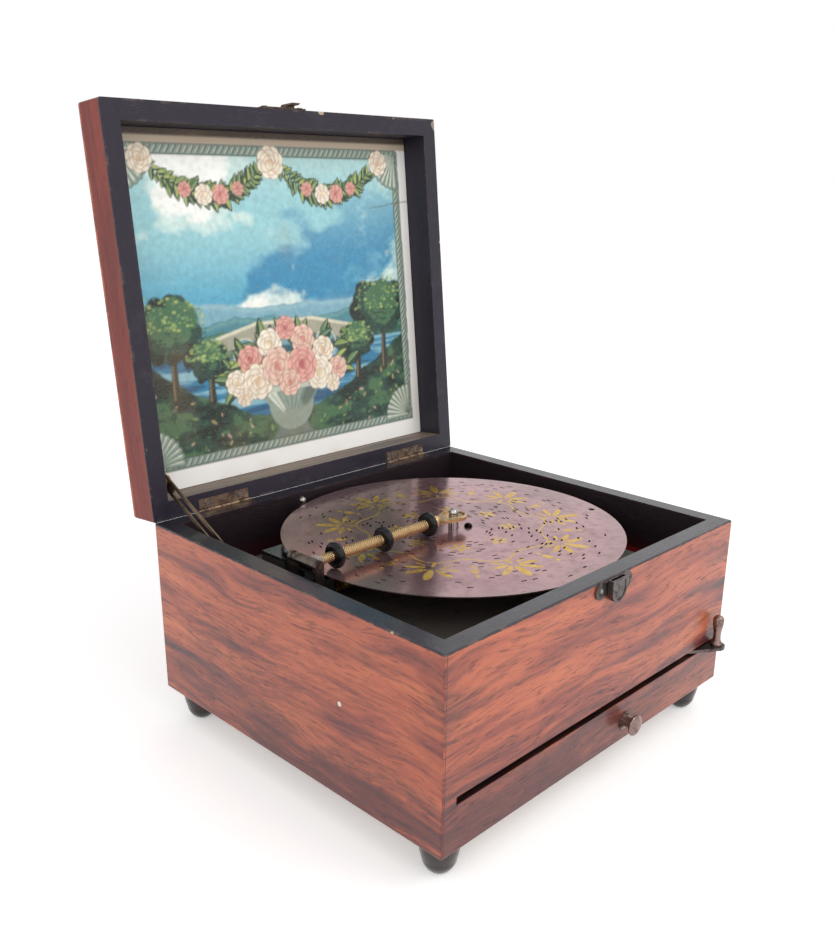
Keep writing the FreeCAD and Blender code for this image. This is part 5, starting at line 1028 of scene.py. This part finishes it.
class MUSICBOX_OT_arm(bpy.types.Operator):
    """Builds the knurled tubes, and finishes the roller arm"""
    bl_idname = "musicbox.build_arm"
    bl_label = "Build the roller arm"

    def tube(self, shape, low_x, high_x, radius, inner, centre, sizes):
        """A grid rolled round the arm and pressed into diamonds, with flat ends."""
        ways = round(math.tau * radius / sizes.knurl_pitch)
        along = max(8, int((high_x - low_x) / sizes.knurl_pitch) * 8)
        wrap = bmesh.ops.create_grid(shape, x_segments=along, y_segments=ways * 8, size=0.5)["verts"]
        layer = shape.verts.layers.float_color["groove"]
        for vertex in wrap:
            x = low_x + (vertex.co.x + 0.5) * (high_x - low_x)
            turn = (vertex.co.y + 0.5) * math.tau
            first, second = (abs(((x / sizes.knurl_pitch + way * turn * ways / math.tau) % 1.0) - 0.5) * 2
                             for way in (1, -1))
            fade = min(1.0, (x - low_x) / PLAIN_END, (high_x - x) / PLAIN_END)
            groove = (1.0 - min(1.0, 1.6 * min(first, second))) * fade
            reach = radius - sizes.knurl_depth * groove
            vertex[layer] = (groove, groove, groove, 1.0)
            vertex.co = Vector((x, centre.y + reach * math.cos(turn), centre.z + reach * math.sin(turn)))
        ends = [edge for vertex in wrap for edge in vertex.link_edges
                if edge.is_boundary and abs(edge.verts[0].co.x - edge.verts[1].co.x) < 1e-7]
        cap = bmesh.ops.extrude_edge_only(shape, edges=list(set(ends)))
        for vertex in cap["geom"]:
            if isinstance(vertex, bmesh.types.BMVert):
                spoke = Vector((0.0, vertex.co.y - centre.y, vertex.co.z - centre.z)).normalized() * inner
                vertex.co = Vector((vertex.co.x, centre.y + spoke.y, centre.z + spoke.z))

    def execute(self, context):
        tints = colours()
        sizes = context.scene.music_box_arm
        low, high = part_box("arm_sleeves")
        centre = (low + high) / 2
        rollers = [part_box(name) for name in ("roller_outer", "roller_middle", "roller_inner")]
        gap = 0.0003
        radius = (high.z - low.z) / 2
        inner = radius * 0.7
        shape = bmesh.new()
        shape.verts.layers.float_color.new("groove")
        for before, after in zip(rollers, rollers[1:]):
            self.tube(shape, before[1].x + gap, after[0].x - gap, radius, inner, centre, sizes)
        slim = radius * 0.875
        self.tube(shape, low.x, rollers[0][0].x - gap, slim, inner, centre, sizes)
        bmesh.ops.remove_doubles(shape, verts=shape.verts, dist=1e-7)
        bmesh.ops.recalc_face_normals(shape, faces=shape.faces)
        knurled = metal("knurled brass", tints.brass, "#8a6f41", 150.0, (0.20, 0.22), share=(0.5, 0.8),
                        scratch=0.15)
        groove = knurled.node("ShaderNodeAttribute", {}, out="Fac", attribute_name="groove")
        knurled.repaint(knurled.both(knurled.step(groove, 0.15, 0.75), 0.85), "#4d3717")
        piece = made("knurled_tubes", shape, "arm", knurled)
        smooth_edges(piece, 60.0)
        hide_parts("arm_sleeves")
        give(ebony("roller black", tints.ebony, 900.0, 0.1), "roller_outer", "roller_middle", "roller_inner")
        steel = metal("arm steel", "#6a615b", "#3f3630", 180.0, (0.18, 0.24))
        x = steel.split(steel.point())[0]
        steel.repaint(steel.step(x, ARM_PIN.x + 0.0015, ARM_PIN.x + 0.0030), "#c3bfba")
        give(steel, "arm_rod", "arm_pin")
        give_metals(
            ("arm bracket iron", "#665b55", "#3a302b", 150.0, (0.26, 0.28), "arm_bracket"),
            ("end plate brass", tints.brass, "#7d6743", 130.0, (0.20, 0.25), "spindle_latch"))
        return {"FINISHED"}


class MUSICBOX_OT_motor(bpy.types.Operator):
    """Finishes the bedplate, the motor, the comb and the gears"""
    bl_idname = "musicbox.finish_motor"
    bl_label = "Finish the works"

    def execute(self, context):
        tints = colours()
        give(metal("bedplate iron", tints.bed, "#3f3832", 60.0, (0.40, 0.20), metallic=0.55),
             "bedplate", "comb_base")
        hub = metal("hub brass", tints.brass, "#8f713c", 140.0, (0.18, 0.20))
        z = hub.split(hub.point())[2]
        hub.repaint(hub.step(z, DISC_LOW.z + 0.0001, DISC_LOW.z + 0.0002), "#141214")
        give(hub, "drive_hub")
        give(metal("comb steel", tints.blue_steel, "#51525a", 90.0, (0.16, 0.20),
                   brushed=(200.0, 2200.0, 200.0)), "comb", "mainspring")
        give_metals(
            ("plate brass", tints.brass, "#8a6f41", 60.0, (0.26, 0.22),
             "motor_plate pillars worm_brackets barrel_drum"),
            ("gear brass", "#cfa960", "#8f713c", 140.0, (0.18, 0.20),
             "great_wheel main_wheel worm_wheel star_wheels fly"),
            ("weight lead", "#77777c", "#4c4c52", 200.0, (0.45, 0.20), "comb_weights"),
            ("shaft steel", tints.steel, "#6f6a66", 200.0, (0.16, 0.22),
             "winding_arbor lever_pawl holding_click governor_arbor worm_shaft star_bracket machine_screws"))
        return {"FINISHED"}


class MUSICBOX_OT_controls(bpy.types.Operator):
    """Finishes the winding lever, its handle and the start knob"""
    bl_idname = "musicbox.finish_controls"
    bl_label = "Finish the lever and the knob"

    def execute(self, context):
        give_metals(
            ("lever iron", "#6b6260", "#3b3433", 110.0, (0.30, 0.25), "winding_lever"),
            ("turned bronze", colours().bronze, "#54463f", 170.0, (0.20, 0.25),
             "lever_handle start_knob start_rosette"))
        return {"FINISHED"}


class MUSICBOX_OT_stage(bpy.types.Operator):
    """Sets up the floor, the lamps and the camera"""
    bl_idname = "musicbox.build_stage"
    bl_label = "Build the stage"

    def lamp(self, name, place, aim, size, power):
        data = bpy.data.lights.new(name, "AREA")
        data.shape = "DISK"
        data.size = size
        data.energy = power
        lamp = bpy.data.objects.new(name, data)
        lamp.location = place
        lamp.rotation_euler = (Vector(aim) - Vector(place)).to_track_quat("-Z", "Y").to_euler()
        bpy.context.scene.collection.objects.link(lamp)

    def execute(self, context):
        studio = context.scene.music_box_studio
        scene = context.scene
        camera_data = bpy.data.cameras.new("studio camera")
        camera_data.lens = studio.camera_lens
        camera_data.sensor_width = 36.0
        camera_data.sensor_fit = "AUTO"
        camera_data.shift_x, camera_data.shift_y = LENS_SHIFT
        camera_data.clip_start = 0.01
        camera = bpy.data.objects.new("studio camera", camera_data)
        azimuth, height, roll = (math.radians(angle) for angle in (VIEW_TURN, VIEW_HEIGHT, VIEW_ROLL))
        back = Vector((math.sin(azimuth) * math.cos(height), -math.cos(azimuth) * math.cos(height),
                       math.sin(height)))
        right = Vector((math.cos(azimuth), math.sin(azimuth), 0.0))
        up = back.cross(right)
        side = math.cos(roll) * right + math.sin(roll) * up
        top = -math.sin(roll) * right + math.cos(roll) * up
        turn = Matrix((side, top, back)).transposed().to_4x4()
        camera.matrix_world = Matrix.Translation(studio.camera_place) @ turn
        scene.collection.objects.link(camera)
        scene.camera = camera

        ground = bmesh.new()
        bmesh.ops.create_grid(ground, x_segments=2, y_segments=2, size=FLOOR_REACH)
        mesh = bpy.data.meshes.new("studio_floor")
        ground.to_mesh(mesh)
        ground.free()
        floor = bpy.data.objects.new("studio_floor", mesh)
        scene.collection.objects.link(floor)
        f = Finish("studio floor", {"Base Color": studio.floor_colour, "Roughness": 0.9,
                                    "Specular IOR Level": 0.1})
        f.shade("Emission Color", (1.0, 1.0, 1.0))
        f.shade("Emission Strength", f.both(f.seen_directly(), FLOOR_GLOW))
        give(f, floor)

        self.lamp("key lamp", (0.55, -1.25, 1.55), (0.0, 0.0, 0.1), 1.1, studio.key_power)
        self.lamp("fill lamp", (-1.6, -0.55, 1.1), (0.0, 0.0, 0.1), 1.2, studio.fill_power)
        self.lamp("front lamp", (-0.35, -1.7, 0.75), (0.0, 0.1, 0.2), 1.0, studio.front_power)

        scene.world = bpy.data.worlds.new("studio surroundings")
        sky = NodeCalls(scene.world, "BACKGROUND")
        sky.shade("Color", (1.0, 1.0, 1.0))
        sky.shade("Strength", sky.node("ShaderNodeMapRange", {"Value": sky.seen_directly(),
                                                              "To Min": studio.sky_level, "To Max": 1.0}))
        scene.view_settings.view_transform = "Standard"
        return {"FINISHED"}


class MUSICBOX_PT_panel(bpy.types.Panel):
    """Sizes, colours and steps of the music box"""
    bl_idname = "MUSICBOX_PT_panel"
    bl_label = "Disc Music Box"
    bl_space_type = "VIEW_3D"
    bl_region_type = "UI"
    bl_category = "Music Box"

    def draw(self, context):
        layout = self.layout
        for name in GROUPS:
            owner = getattr(context.scene, name)
            box = layout.box()
            for key in owner.__annotations__:
                box.prop(owner, key)
        for step in STEPS:
            layout.operator(step.bl_idname)


GROUPS = {
    "music_box_picture": MusicBoxPicture,
    "music_box_arm": MusicBoxArm,
    "music_box_disc": MusicBoxDisc,
    "music_box_studio": MusicBoxStudio,
    "music_box_colours": MusicBoxColours,
}
STEPS = (MUSICBOX_OT_stage, MUSICBOX_OT_case, MUSICBOX_OT_lid, MUSICBOX_OT_picture, MUSICBOX_OT_fittings,
         MUSICBOX_OT_disc, MUSICBOX_OT_arm, MUSICBOX_OT_motor, MUSICBOX_OT_controls)


def register():
    for group in GROUPS.values():
        bpy.utils.register_class(group)
    for name, group in GROUPS.items():
        setattr(bpy.types.Scene, name, bpy.props.PointerProperty(type=group))
    for step in STEPS:
        bpy.utils.register_class(step)
    bpy.utils.register_class(MUSICBOX_PT_panel)


def unregister():
    bpy.utils.unregister_class(MUSICBOX_PT_panel)
    for step in reversed(STEPS):
        bpy.utils.unregister_class(step)
    for name in GROUPS:
        delattr(bpy.types.Scene, name)
    for group in reversed(GROUPS.values()):
        bpy.utils.unregister_class(group)


def main():
    register()
    for step in STEPS:
        family, call = step.bl_idname.split(".")
        getattr(getattr(bpy.ops, family), call)()


if __name__ == "__main__":
    main()
